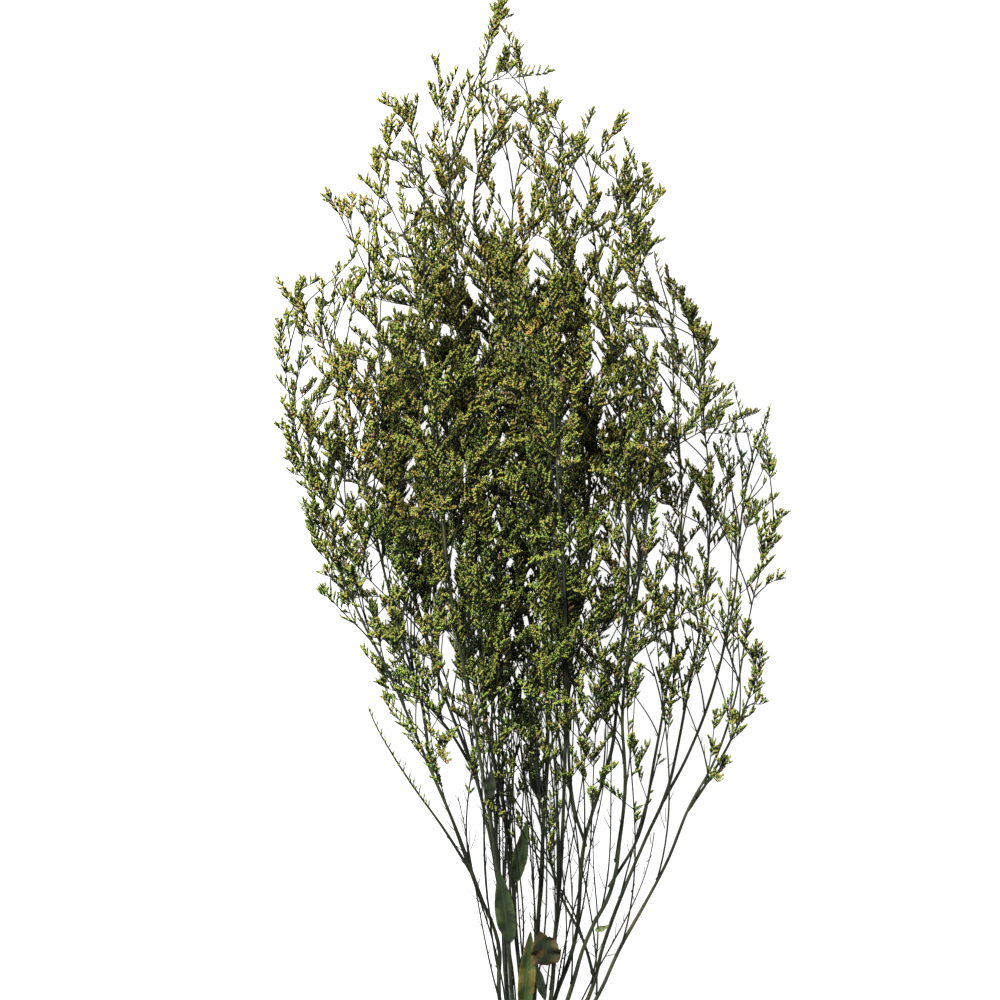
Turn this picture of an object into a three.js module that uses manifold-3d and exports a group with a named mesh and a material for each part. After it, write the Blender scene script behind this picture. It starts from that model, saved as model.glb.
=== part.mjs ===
// A tied bunch of dried caspia, laid on its side: ten branched stems with their florets,
// the withered leaves low on them, and the rubber band that holds the stems together.
// Millimetres. X runs across the bunch, Y along it towards the tips, Z up from the surface.

import * as THREE from "three";
import Module from "manifold-3d";

const wasm = await Module();
wasm.setup();

// Stems, and the rubber band round them. They lie three, four and three in the tie, run
// straight through it and fan out on both sides. Above it they rise to their heads.
const STEM_DIAMETER = 3.2;
const STEM_TOP_DIAMETER = 2.0;
const STEM_GAP = 0.4;
const STEM_SIDES = 5;
const STEM_RINGS = 14;
const CUT_BELOW_TIE = 52;
const CUT_END_SPREAD = 0.8;
const FAN_SPACING = 29;
const FAN_POWER = 1.5;
const RISE_LENGTH = 360;
const BAND_WIDTH = 7;
const BAND_THICKNESS = 1.4;
const BAND_GAP = 0.5;
const STRAIGHT_IN_BAND = 7;

// Flowering tops, forks, branches and twigs, three-sided
const TOP_LENGTH = 78;
const TOP_OVERLAP = 4;
const FORK_DIAMETER = 2.3;
const SIDE_DIAMETER = 2.0;
const FLOWER_AXIS_DIAMETER = 2.4;
const AXIS_TIP_DIAMETER = 1.5;
const ROOT_TAPER = 4.5;
const BRANCH_ANGLE = 0.56;
const BRANCH_STEP = 48;
const BRANCH_LONGEST = 100;
const BRANCH_SHORTEST = 58;
const BRANCH_LENGTH_SPREAD = 0.3;
const BRANCHES_TO = 0.92;
const BRANCH_RINGS = 2;
const TWIG_STEP = 25;
const TWIG_LONGEST = 56;
const TWIG_SHORTEST = 40;
const TWIG_ANGLE = 0.7;
const TWIG_RINGS = 1;
const TWIGS_FROM = 0.34;
const TWIGS_TO = 0.86;
const SIDE_BEND = 0.3;
const OUTER_BEND = 0.22;
const OUTER_BEND_SPREAD = 0.2;
const FLOWERS_FROM = 235;

// Florets: blades raised in pairs from the upper faces of an axis, larger than life
const FLORET_SPACING = 9.5;
const FLORET_OUT = 6.2;
const FLORET_FORWARD = 7;
const FLORET_LEAD = 0.15;
const LAST_FLORET_SIZE = 0.8;
const END_FLORET_LENGTH = 6;
const FLORETS_ON_TOP = 7;
const FLORETS_ON_BRANCH = 6;
const FLORETS_ON_TWIG = 4;
const FEWEST_FLORETS = 2;
const BARE_ROOT = 16;
const MOST_FLOWERING = 0.7;

// Leaves: thin folded blades with waved edges
const LEAF_THICKNESS = 0.8;
const LEAF_GAP = 0.3;
const LEAF_STALK = 1.6;
const LEAF_ROWS = 6;
const LEAF_FOLD = 0.35;
const LEAF_WAVE = 0.3;
const LEAF_WAVE_TURN = 2.6;
const LEAF_ARCH = 0.12;

// Colours
const STEM_COLOUR = "#4d5f35";
const GREEN_LEAF = "#3f5a2c";
const OLIVE_LEAF = "#66662f";
const BROWN_LEAF = "#4a3a26";
const BAND_COLOUR = "#c8a274";

// The head's outline seen from above, as [y, left, right], and its depth
const OUTLINE = [
  [90, -20, 46], [150, -30, 76], [207, -66, 100], [261, -97, 137], [300, -104, 140],
  [345, -124, 148], [400, -146, 151], [441, -147, 150], [495, -150, 104], [545, -120, 84],
  [590, -98, 72], [630, -78, 30], [660, -42, 2], [690, -20, -6],
];
const DEPTH_SHARE = 0.62;
const MIDDLE_HEIGHT = 80;
const LOWEST_AXIS = 3.4;
const LYING_HEIGHT = 0.6;

// Heights of the outer branches' tips, drawn towards the middle of the head
const TIP_HEIGHT_PULL = 0.4;
const TIP_HEIGHT_SPREAD = 46;
const LEAST_TIP_DEPTH = 20;

// Room kept round each axis, so that no two stems' pieces meet, and the search for it
const SAMPLE_STEP = 3.5;
const BARE_ROOM = 1.3;
const FLOWER_ROOM = 4.8;
const OWN_CROWDING = 0.85;
const TRIES = 7;
const TRY_SHRINK = 0.06;
const REACH_WEIGHT = 1 / 260;
const ROOTS_FROM = 0.25;
const ROOTS_TO = 0.93;
const ROOTS_TRIED = 35;
const CURVE_STEPS = 400;

const GOLDEN_ANGLE = Math.PI * (3 - Math.sqrt(5));
const ALONG = new THREE.Vector3(0, 1, 0);
const UP = new THREE.Vector3(0, 0, 1);
const SEED = 4100;

// Stems from left to right. column counts half pitches from the tie's middle and row counts
// up from the surface. lift is the height at which the stem's head lies. way is the stem's
// run past the tie, forks are its long side limbs, each from a height on the stem, and tips
// are the ends of the outer branches that draw the outline.
const STEMS = [
  {
    column: -3, row: 1, lift: 84,
    way: [[-17, 87], [-17, 118], [-28, 147], [-43, 189], [-62, 234], [-81, 279], [-102, 321],
      [-119, 363], [-133, 405], [-142, 447], [-149, 493]],
    forks: [
      { from: 159, lift: 70, way: [[-50, 188], [-71, 218], [-88, 246], [-95, 261]] },
      { from: 225, lift: 104, way: [[-63, 263], [-74, 300], [-86, 345], [-98, 399],
        [-109, 447], [-123, 482], [-148, 518]] },
    ],
    tips: [[-146, 431], [-144, 414], [-128, 399], [-120, 346], [-122, 334], [-105, 337],
      [-66, 238], [-136, 509], [-122, 516], [-104, 513], [-97, 527]],
  },
  {
    column: -2, row: 0, lift: 32,
    way: [[-12, 87], [-14, 129], [-20, 171], [-31, 219], [-47, 261], [-61, 303], [-73, 351],
      [-82, 405], [-88, 459], [-93, 513], [-109, 551], [-121, 574]],
    forks: [
      { from: 222, lift: 58, way: [[-46, 246], [-64, 267], [-89, 284]] },
    ],
    tips: [[-110, 566], [-95, 558], [-83, 309]],
  },
  {
    column: -2, row: 2, lift: 118,
    way: [[-9, 87], [-12, 129], [-18, 171], [-26, 219], [-34, 267], [-45, 327], [-52, 393],
      [-58, 459], [-61, 525], [-62, 579], [-71, 611], [-85, 627]],
    forks: [],
    tips: [[-71, 622], [-62, 617], [-85, 602], [-71, 595], [-92, 591], [-94, 578]],
  },
  {
    column: -1, row: 1, lift: 84,
    way: [[-3, 87], [-7, 129], [-9, 171], [-16, 213], [-25, 255], [-28, 297], [-31, 351],
      [-34, 417], [-38, 483], [-44, 543], [-46, 577], [-39, 618], [-26, 649], [-13, 687]],
    forks: [],
    tips: [[-54, 649], [-35, 641], [-59, 635], [-62, 626], [-24, 628], [-7, 649]],
  },
  {
    column: 0, row: 0, lift: 32,
    way: [[5, 87], [7, 129], [9, 165], [11, 207], [13, 255], [10, 315], [4, 375], [-3, 441],
      [-9, 501], [-9, 555], [-4, 591], [7, 625]],
    forks: [
      { from: 429, lift: 60, way: [[-14, 489], [-27, 537], [-32, 567], [-25, 597], [-8, 629]] },
    ],
    tips: [[14, 237], [15, 603]],
  },
  {
    column: 0, row: 2, lift: 134,
    way: [[15, 87], [17, 123], [20, 159], [22, 207], [23, 267], [22, 339], [17, 417],
      [15, 489], [17, 549], [21, 579], [29, 601]],
    forks: [],
    tips: [[21, 610], [36, 588]],
  },
  {
    column: 1, row: 1, lift: 96,
    way: [[18, 87], [29, 118], [32, 147], [34, 177], [42, 207], [51, 237], [55, 279], [59, 327],
      [61, 375], [56, 429], [49, 489], [40, 543], [39, 580], [47, 600], [58, 616]],
    forks: [
      { from: 177, lift: 66, way: [[28, 204], [25, 243], [27, 297], [35, 351], [38, 417],
        [32, 477], [26, 525], [17, 567], [-6, 612]] },
    ],
    tips: [[33, 604]],
  },
  {
    column: 2, row: 2, lift: 120,
    way: [[26, 87], [36, 121], [51, 152], [56, 183], [59, 219], [57, 261], [63, 315],
      [71, 375], [74, 435], [68, 489], [63, 537], [69, 557], [80, 571]],
    forks: [
      { from: 152, lift: 92, way: [[68, 186], [77, 231], [85, 279], [89, 327], [93, 387],
        [89, 435], [87, 482], [89, 517]] },
    ],
    tips: [[52, 584], [58, 593], [70, 586], [75, 579], [73, 540], [76, 533], [76, 510], [75, 499]],
  },
  {
    column: 2, row: 0, lift: 38,
    way: [[39, 87], [46, 114], [57, 145], [73, 183], [85, 210], [92, 240], [98, 273], [107, 321],
      [111, 375], [109, 417], [104, 453], [109, 481]],
    forks: [
      { from: 202, lift: 74, way: [[98, 233], [113, 273], [125, 327], [129, 375], [135, 412],
        [146, 442]] },
      { from: 96, lift: 66, way: [[34, 120], [19, 151], [12, 182], [6, 220], [-2, 262]] },
    ],
    tips: [[99, 499], [107, 489], [113, 467], [116, 448], [119, 438], [117, 424], [125, 423],
      [144, 399], [132, 390]],
  },
  {
    column: 3, row: 1, lift: 84,
    way: [[44, 87], [56, 114], [74, 147], [86, 171], [98, 202], [113, 230], [125, 267],
      [133, 315], [141, 349], [151, 379]],
    forks: [
      { from: 199, lift: 98, way: [[110, 219], [124, 246], [135, 276], [137, 297]] },
    ],
    tips: [[137, 377], [146, 339], [140, 289], [139, 268], [136, 260], [102, 342], [115, 326],
      [106, 309], [118, 231]],
  },
];

// Leaves low on the stems. from is the height on the stem, side turns the seat round the
// stem from its top, lean and rise turn the blade sideways and up, and roll tips it over.
const LEAVES = [
  { stem: 3, from: 119, length: 50, width: 13, lean: -0.06, side: 0.3, rise: 0.12, roll: 0.3,
    colour: GREEN_LEAF },
  { stem: 6, from: 106, length: 27, width: 19, lean: -0.35, side: -0.6, rise: 0.3, roll: -0.2,
    colour: BROWN_LEAF },
  { stem: 4, from: 74, length: 54, width: 11, lean: 0.1, side: 0.5, rise: 0.1, roll: -0.2,
    colour: OLIVE_LEAF },
  { stem: 6, from: 84, length: 25, width: 6, lean: -0.3, side: -1.1, rise: 0.1, roll: 0.3,
    colour: GREEN_LEAF },
  { stem: 4, from: 156, length: 42, width: 9, lean: 0.25, side: 0.5, rise: 0.15, roll: 0.2,
    colour: GREEN_LEAF },
  { stem: 8, from: 128, length: 9, width: 4, lean: 0.9, side: 0.4, rise: 0.2, roll: 0,
    colour: OLIVE_LEAF },
  { stem: 3, from: 208, length: 21, width: 7, lean: 0.25, side: 0.4, rise: 0.2, roll: 0.3,
    colour: GREEN_LEAF },
  { stem: 5, from: 206, length: 23, width: 8, lean: -0.45, side: -0.5, rise: 0.3, roll: 0,
    colour: GREEN_LEAF },
];

/** Makes a repeatable source of numbers from 0 to 1 for one seed. */
function seeded(seed) {
  let state = seed | 0;
  return () => {
    state = (state + 0x6d2b79f5) | 0;
    let mixed = Math.imul(state ^ (state >>> 15), 1 | state);
    mixed = (mixed + Math.imul(mixed ^ (mixed >>> 7), 61 | mixed)) ^ mixed;
    return ((mixed ^ (mixed >>> 14)) >>> 0) / 4294967296;
  };
}

function mix(start, end, share) {
  return start + (end - start) * share;
}

function smooth(share) {
  const held = Math.min(Math.max(share, 0), 1);
  return held * held * (3 - 2 * held);
}

/** The direction at an angle from one direction towards another at right angles to it. */
function turned(first, second, angle) {
  return first.clone().multiplyScalar(Math.cos(angle)).addScaledVector(second, Math.sin(angle));
}

function keepAbove(point, lowest) {
  return point.setZ(Math.max(point.z, lowest));
}

/** Half width and middle of the head's outline at a distance along the bunch. */
function outlineAt(y) {
  let row = 1;
  while (row < OUTLINE.length - 1 && OUTLINE[row][0] < y) {
    row += 1;
  }
  const [lowY, lowLeft, lowRight] = OUTLINE[row - 1];
  const [highY, highLeft, highRight] = OUTLINE[row];
  const share = Math.min(Math.max((y - lowY) / (highY - lowY), 0), 1);
  const left = mix(lowLeft, highLeft, share);
  const right = mix(lowRight, highRight, share);
  return { half: (right - left) / 2, middle: (left + right) / 2 };
}

/** Height of the head's upper surface over a point, or 0 outside the outline. */
function topOf(x, y) {
  const { half, middle } = outlineAt(y);
  const across = (x - middle) / half;
  if (Math.abs(across) >= 1 || y > OUTLINE[OUTLINE.length - 1][0]) {
    return 0;
  }
  return MIDDLE_HEIGHT + DEPTH_SHARE * half * Math.sqrt(1 - across * across);
}

function smoothCurve(points) {
  return new THREE.CatmullRomCurve3(points, false, "catmullrom", 0.5);
}

/** Share of a curve's length at which it first reaches a distance along the bunch. */
function shareAtY(curve, y) {
  for (let step = 0; step <= CURVE_STEPS; step += 1) {
    if (curve.getPointAt(step / CURVE_STEPS).y >= y) {
      return step / CURVE_STEPS;
    }
  }
  return 1;
}

/** The stretch of a curve between two shares of its length. */
function stretchOf(curve, from, to, count) {
  return smoothCurve(Array.from({ length: count + 1 }, (_, place) => (
    curve.getPointAt(mix(from, to, place / count))
  )));
}

/**
 * An axis of the plant: rings along a curve, the upper side of each, and where the florets
 * start. A side axis springs from a point on its parent's centre line, and a stem is cut.
 */
class Axis {
  constructor({
    stem, curve, parentWay, rootDiameter, rings, florets, sides = 3, cut = false, extraShares = [],
  }) {
    this.stem = stem;
    this.curve = curve;
    this.sides = sides;
    this.cut = cut;
    this.isTooFine = false;
    this.length = curve.getLength();
    const fitting = Math.floor((this.length - BARE_ROOT) / FLORET_SPACING);
    this.florets = Math.min(florets, Math.max(fitting, FEWEST_FLORETS));
    const flowering = Math.min(this.florets * FLORET_SPACING / this.length, MOST_FLOWERING);
    const first = cut ? 0 : ROOT_TAPER / this.length;
    this.shares = cut ? [...extraShares] : [0];
    for (let ring = 0; ring <= rings; ring += 1) {
      this.shares.push(mix(first, 1 - flowering, ring / rings));
    }
    this.shares.sort((one, other) => one - other);
    this.flowersFrom = this.florets > 0 ? this.shares.length - 1 : Infinity;
    for (let ring = 1; ring <= this.florets; ring += 1) {
      this.shares.push(1 - flowering + flowering * ring / this.florets);
    }
    this.points = this.shares.map((share) => curve.getPointAt(Math.min(share, 1)));
    this.tangents = this.points.map((point, ring) => {
      const after = this.points[Math.min(ring + 1, this.points.length - 1)];
      const before = this.points[Math.max(ring - 1, 0)];
      return after.clone().sub(before).normalize();
    });
    const tipDiameter = cut ? STEM_TOP_DIAMETER : AXIS_TIP_DIAMETER;
    this.radii = this.shares.map((share, ring) => {
      const slim = mix(rootDiameter, tipDiameter, share) / 2;
      const isFlowering = ring >= this.flowersFrom && ring < this.shares.length - 1;
      return isFlowering ? Math.max(slim, FLOWER_AXIS_DIAMETER / 2) : slim;
    });
    this.uppers = this.carryUpper(parentWay);
    this.taken = this.samples();
  }

  /** The upper side, which faces the parent axis, carried along without twisting. */
  carryUpper(parentWay) {
    let upper = parentWay;
    return this.tangents.map((tangent) => {
      upper = upper.clone().addScaledVector(tangent, -upper.dot(tangent)).normalize();
      return upper;
    });
  }

  /** The ring that ends the segment at a share of the axis's length. */
  ringAfter(share) {
    return Math.max(this.shares.findIndex((other) => other >= share), 1);
  }

  /** Point on the centre line of the segments at a share of the axis's length. */
  centreAt(share) {
    const ring = this.ringAfter(share);
    const start = this.shares[ring - 1];
    const within = (share - start) / (this.shares[ring] - start);
    return this.points[ring - 1].clone().lerp(this.points[ring], within);
  }

  /** Direction of the segment at a share of the axis's length. */
  wayAt(share) {
    const ring = this.ringAfter(share);
    return this.points[ring].clone().sub(this.points[ring - 1]).normalize();
  }

  upperAt(share) {
    return this.uppers[this.ringAfter(share)];
  }

  isFlowerAt(share) {
    return this.ringAfter(share) > this.flowersFrom;
  }

  /** Points along the axis and its florets, with the room that each keeps. */
  samples() {
    const list = [];
    for (let ring = 0; ring + 1 < this.points.length; ring += 1) {
      const start = this.points[ring];
      const end = this.points[ring + 1];
      const steps = Math.ceil(start.distanceTo(end) / SAMPLE_STEP);
      const isFlowering = ring >= this.flowersFrom;
      const room = isFlowering ? FLOWER_ROOM : this.radii[ring] + BARE_ROOM;
      const raise = isFlowering ? FLORET_OUT / 2 : 0;
      for (let step = 1; step <= steps; step += 1) {
        const point = start.clone().lerp(end, step / steps);
        list.push({ point: point.addScaledVector(this.uppers[ring], raise), room });
      }
    }
    return list;
  }
}

/** The plant's axes as they are placed one after another. */
class Bunch {
  constructor() {
    this.axes = [];
  }

  /** Says whether an axis stays clear of every piece but its parent, its own root apart. */
  isClear(axis, parent) {
    const free = axis.taken.filter(({ point }) => point.distanceTo(axis.points[0]) > BARE_ROOT);
    return this.axes.every((other) => {
      const isOwn = other.stem === axis.stem;
      const crowding = isOwn ? OWN_CROWDING : 1;
      const mine = isOwn ? free : axis.taken;
      return other === parent || other.taken.every((theirs) => mine.every((sample) => (
        sample.point.distanceTo(theirs.point) > crowding * (sample.room + theirs.room)
      )));
    });
  }

  place(axis) {
    this.axes.push(axis);
    return axis;
  }
}

/** Middle of a stem in the tie, by its column in half pitches and its row. */
function slotOf(column, row) {
  const pitch = STEM_DIAMETER + STEM_GAP;
  const firstRow = BAND_THICKNESS + BAND_GAP + STEM_DIAMETER / 2;
  return new THREE.Vector3(column * pitch / 2, 0, firstRow + row * pitch * Math.sqrt(3) / 2);
}

/** A main stem: from its cut end through the tie, fanning out to its own way. */
function stemCurve({ column, row, lift, way }) {
  const slot = slotOf(column, row);
  const [firstX, firstY] = way[0];
  const heightAt = (y) => mix(slot.z, lift, smooth(y / RISE_LENGTH));
  const fanned = (y) => mix(slot.x, firstX, (y / firstY) ** FAN_POWER);
  return smoothCurve([
    new THREE.Vector3(fanned(CUT_BELOW_TIE) * CUT_END_SPREAD, -CUT_BELOW_TIE, slot.z),
    new THREE.Vector3(fanned(FAN_SPACING), -FAN_SPACING, slot.z),
    slot.clone().setY(-STRAIGHT_IN_BAND),
    slot,
    slot.clone().setY(STRAIGHT_IN_BAND),
    new THREE.Vector3(fanned(FAN_SPACING), FAN_SPACING, heightAt(FAN_SPACING)),
    new THREE.Vector3(fanned(2 * FAN_SPACING), 2 * FAN_SPACING, heightAt(2 * FAN_SPACING)),
    ...way.map(([x, y]) => new THREE.Vector3(x, y, heightAt(y))),
  ]);
}

/** A long side limb that leaves its stem at one height and follows its own way. */
function forkCurve(main, { from, lift, way }) {
  const root = main.centreAt(shareAtY(main.curve, from));
  const lastY = way[way.length - 1][1];
  const heightAt = (y) => mix(root.z, lift, smooth((y - root.y) / (lastY - root.y)));
  return smoothCurve([root, ...way.map(([x, y]) => new THREE.Vector3(x, y, heightAt(y)))]);
}

/** A side axis from a root to a tip, leaving its parent at a slant and bending up. */
function sideCurve(root, parentWay, tip, bend) {
  const reach = tip.clone().sub(root);
  const third = reach.length() / 3;
  const straight = reach.clone().normalize();
  const leaving = straight.clone().lerp(parentWay, bend).normalize();
  const arriving = straight.clone().lerp(ALONG, bend).normalize();
  return new THREE.CubicBezierCurve3(
    root,
    keepAbove(root.clone().addScaledVector(leaving, third), LOWEST_AXIS),
    keepAbove(tip.clone().addScaledVector(arriving, -third), LOWEST_AXIS),
    keepAbove(tip, LOWEST_AXIS),
  );
}

/** Where on the limbs a branch to a tip leaves them at nearest the usual angle. */
function rootFor(limbs, tip) {
  let best = { misfit: Infinity };
  for (const parent of limbs) {
    for (let step = 0; step < ROOTS_TRIED; step += 1) {
      const share = mix(ROOTS_FROM, ROOTS_TO, step / (ROOTS_TRIED - 1));
      const root = parent.centreAt(share);
      const reach = tip.clone().sub(root);
      const slant = reach.angleTo(parent.wayAt(share));
      const misfit = Math.abs(slant - BRANCH_ANGLE) + reach.length() * REACH_WEIGHT;
      if (misfit < best.misfit) {
        best = { misfit, parent, share, root };
      }
    }
  }
  return best;
}

/** Direction at an angle from a parent axis, turned about it. */
function slanted(way, upper, angle, turn) {
  return turned(way, turned(upper, way.clone().cross(upper), turn), angle);
}

/** Turns a side axis about its parent until it lies inside the head and keeps clear. */
function placeBySearch(bunch, parent, share, { length, angle, turn, rings, florets }) {
  const root = parent.centreAt(share);
  const way = parent.wayAt(share);
  for (let attempt = 0; attempt < TRIES; attempt += 1) {
    const heading = slanted(way, parent.upperAt(share), angle, turn + attempt * GOLDEN_ANGLE);
    const reach = length * (1 - TRY_SHRINK * attempt);
    const tip = keepAbove(root.clone().addScaledVector(heading, reach), LOWEST_AXIS);
    if (tip.z <= topOf(tip.x, tip.y)) {
      const curve = sideCurve(root, way, tip, SIDE_BEND);
      const axis = new Axis({
        stem: parent.stem, curve, parentWay: way, rootDiameter: SIDE_DIAMETER, rings, florets,
      });
      if (bunch.isClear(axis, parent)) {
        return bunch.place(axis);
      }
    }
  }
  return null;
}

/** Places a stem, its forks and its flowering top. */
function placeLimbs(bunch, plan, stem) {
  const whole = stemCurve(plan);
  const topFrom = 1 - TOP_LENGTH / whole.getLength();
  const curve = stretchOf(whole, 0, topFrom, 30);
  const main = bunch.place(new Axis({
    stem, curve, parentWay: UP, rootDiameter: STEM_DIAMETER, rings: STEM_RINGS, florets: 0,
    sides: STEM_SIDES, cut: true,
    extraShares: [-STRAIGHT_IN_BAND, STRAIGHT_IN_BAND].map((y) => shareAtY(curve, y)),
  }));
  const forks = plan.forks.map((fork) => bunch.place(new Axis({
    stem, curve: forkCurve(main, fork), parentWay: main.wayAt(shareAtY(curve, fork.from)),
    rootDiameter: FORK_DIAMETER, rings: 2 + 2 * fork.way.length, florets: FLORETS_ON_TOP,
  })));
  const overlap = TOP_OVERLAP / whole.getLength();
  const top = bunch.place(new Axis({
    stem, curve: stretchOf(whole, topFrom - overlap, 1, 4), parentWay: UP,
    rootDiameter: SIDE_DIAMETER, rings: BRANCH_RINGS, florets: FLORETS_ON_TOP,
  }));
  return [main, ...forks, top];
}

/** Places the outer branches of a stem, one for each tip on the outline. */
function placeOuterBranches(bunch, limbs, plan, stem) {
  const random = seeded(SEED + stem);
  return plan.tips.flatMap(([x, y]) => {
    const depth = Math.max(topOf(x, y) - MIDDLE_HEIGHT, LEAST_TIP_DEPTH);
    const middle = mix(plan.lift, MIDDLE_HEIGHT, TIP_HEIGHT_PULL);
    const height = middle + (random() - 0.5) * TIP_HEIGHT_SPREAD;
    const tip = new THREE.Vector3(x, y, Math.min(height, MIDDLE_HEIGHT + depth));
    const { parent, share, root } = rootFor(limbs, tip);
    const way = parent.wayAt(share);
    const bend = OUTER_BEND + OUTER_BEND_SPREAD * random();
    const axis = new Axis({
      stem, curve: sideCurve(root, way, tip, bend), parentWay: way, rootDiameter: SIDE_DIAMETER,
      rings: BRANCH_RINGS, florets: FLORETS_ON_BRANCH,
    });
    return bunch.isClear(axis, parent) ? [bunch.place(axis)] : [];
  });
}

/** Places the inner branches of a stem, spiralling up each of its limbs. */
function placeInnerBranches(bunch, limbs, stem) {
  const random = seeded(SEED + 100 + stem);
  const placed = [];
  for (const limb of limbs) {
    let turn = random() * 2 * Math.PI;
    const start = shareAtY(limb.curve, FLOWERS_FROM) * limb.length + BRANCH_STEP / 2;
    for (let along = start; along < BRANCHES_TO * limb.length; along += BRANCH_STEP) {
      const share = along / limb.length;
      const spread = 1 + BRANCH_LENGTH_SPREAD * (random() - 0.5);
      const length = mix(BRANCH_LONGEST, BRANCH_SHORTEST, share) * spread;
      placed.push(placeBySearch(bunch, limb, share, {
        length, angle: BRANCH_ANGLE, turn, rings: BRANCH_RINGS, florets: FLORETS_ON_BRANCH,
      }));
      turn += GOLDEN_ANGLE;
    }
  }
  return placed.filter((axis) => axis !== null);
}

/**
 * Places the twigs of a stem, spiralling up its limbs and branches. Every other twig that
 * springs from a bare stretch is built, and the rest are too fine for this solid.
 */
function placeTwigs(bunch, limbs, branches, stem) {
  const random = seeded(SEED + 200 + stem);
  let count = 0;
  for (const parent of [...limbs, ...branches]) {
    let turn = random() * 2 * Math.PI;
    const isLimb = limbs.includes(parent);
    const start = isLimb
      ? shareAtY(parent.curve, FLOWERS_FROM) * parent.length + TWIG_STEP / 3
      : TWIGS_FROM * parent.length;
    const step = isLimb ? BRANCH_STEP : TWIG_STEP;
    for (let along = start; along < TWIGS_TO * parent.length; along += step) {
      const share = along / parent.length;
      const twig = placeBySearch(bunch, parent, share, {
        length: mix(TWIG_LONGEST, TWIG_SHORTEST, random()), angle: TWIG_ANGLE, turn,
        rings: TWIG_RINGS, florets: FLORETS_ON_TWIG,
      });
      if (twig) {
        count += 1;
        twig.isTooFine = parent.isFlowerAt(share) || count % 2 === 1;
      }
      turn += GOLDEN_ANGLE;
    }
  }
}

/** Grows the whole bunch: stems and forks, outer branches, inner branches, then twigs. */
function growBunch() {
  const bunch = new Bunch();
  const limbs = STEMS.map((plan, stem) => placeLimbs(bunch, plan, stem));
  const outer = STEMS.map((plan, stem) => placeOuterBranches(bunch, limbs[stem], plan, stem));
  const inner = STEMS.map((plan, stem) => placeInnerBranches(bunch, limbs[stem], stem));
  STEMS.forEach((plan, stem) => {
    placeTwigs(bunch, limbs[stem], [...outer[stem], ...inner[stem]], stem);
  });
  return bunch;
}

/** A closed skin of triangles under construction, its faces pointing out. */
class Skin {
  constructor() {
    this.corners = [];
    this.faces = [];
  }

  corner(point) {
    this.corners.push(point.x, point.y, point.z);
    return this.corners.length / 3 - 1;
  }

  face(first, second, third) {
    this.faces.push(first, second, third);
  }

  /** A four-cornered face, split between its first and third corners. */
  quad([first, second, third, fourth]) {
    this.face(first, second, third);
    this.face(first, third, fourth);
  }

  solid() {
    return new wasm.Manifold(new wasm.Mesh({
      numProp: 3,
      vertProperties: new Float32Array(this.corners),
      triVerts: new Uint32Array(this.faces),
    }));
  }
}

/** Tip of the floret raised from one upper face between a ring and the next. */
function floretTip(axis, ring, hand) {
  const upper = axis.uppers[ring];
  const side = axis.tangents[ring].clone().cross(upper);
  const outward = turned(upper, side, hand * Math.PI / 3);
  const isLast = ring + 2 === axis.points.length;
  const tip = axis.points[ring].clone().lerp(axis.points[ring + 1], 0.5)
    .addScaledVector(outward, FLORET_OUT * (isLast ? LAST_FLORET_SIZE : 1))
    .addScaledVector(axis.tangents[ring], FLORET_FORWARD * (1 + FLORET_LEAD * hand));
  return keepAbove(tip, 0);
}

/** The corners of an axis's ring, or the single point that a side axis springs from. */
function ringCorners(skin, axis, ring) {
  const centre = axis.points[ring];
  if (ring === 0 && !axis.cut) {
    return [skin.corner(centre)];
  }
  const side = axis.tangents[ring].clone().cross(axis.uppers[ring]);
  return Array.from({ length: axis.sides }, (_, corner) => {
    const outward = turned(axis.uppers[ring], side, 2 * Math.PI * corner / axis.sides);
    return skin.corner(centre.clone().addScaledVector(outward, axis.radii[ring]));
  });
}

/** The solid of one axis: a slim body with florets raised from its upper faces. */
function axisSolid(axis) {
  const skin = new Skin();
  const { sides, points, tangents } = axis;
  const last = points.length - 1;
  const rings = points.map((point, ring) => ringCorners(skin, axis, ring));
  if (axis.cut) {
    for (let corner = 2; corner < sides; corner += 1) {
      skin.face(rings[0][0], rings[0][corner], rings[0][corner - 1]);
    }
  }
  const end = points[last].clone().addScaledVector(tangents[last], END_FLORET_LENGTH);
  const isLying = points[last].z < LOWEST_AXIS + LYING_HEIGHT;
  const tip = skin.corner(isLying ? end.setZ(0) : keepAbove(end, 0));
  for (let corner = 0; corner < sides; corner += 1) {
    const next = (corner + 1) % sides;
    if (!axis.cut) {
      skin.face(rings[0][0], rings[1][next], rings[1][corner]);
    }
    for (let ring = axis.cut ? 0 : 1; ring < last; ring += 1) {
      const loop = [rings[ring][corner], rings[ring][next], rings[ring + 1][next],
        rings[ring + 1][corner]];
      if (ring < axis.flowersFrom || corner === 1) {
        skin.quad(loop);
      } else {
        const apex = skin.corner(floretTip(axis, ring, corner === 0 ? 1 : -1));
        loop.forEach((start, place) => skin.face(start, loop[(place + 1) % 4], apex));
      }
    }
    skin.face(rings[last][corner], rings[last][next], tip);
  }
  return skin.solid();
}

/** Seat, headings and thickness of a leaf on its stem. */
function leafFrame(main, { from, lean, side, rise, roll }) {
  const share = shareAtY(main.curve, from);
  const way = main.wayAt(share);
  const up = UP.clone().addScaledVector(way, -way.z).normalize();
  const across = way.clone().cross(up);
  const seat = turned(up, across, side);
  const heading = way.clone().addScaledVector(across, lean).addScaledVector(up, rise).normalize();
  const flat = heading.clone().cross(up).normalize();
  const normal = flat.clone().cross(heading);
  return {
    base: main.centreAt(share).addScaledVector(seat, STEM_DIAMETER / 2 + LEAF_GAP + LEAF_THICKNESS),
    heading,
    normal,
    wing: turned(flat, normal, roll),
  };
}

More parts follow.
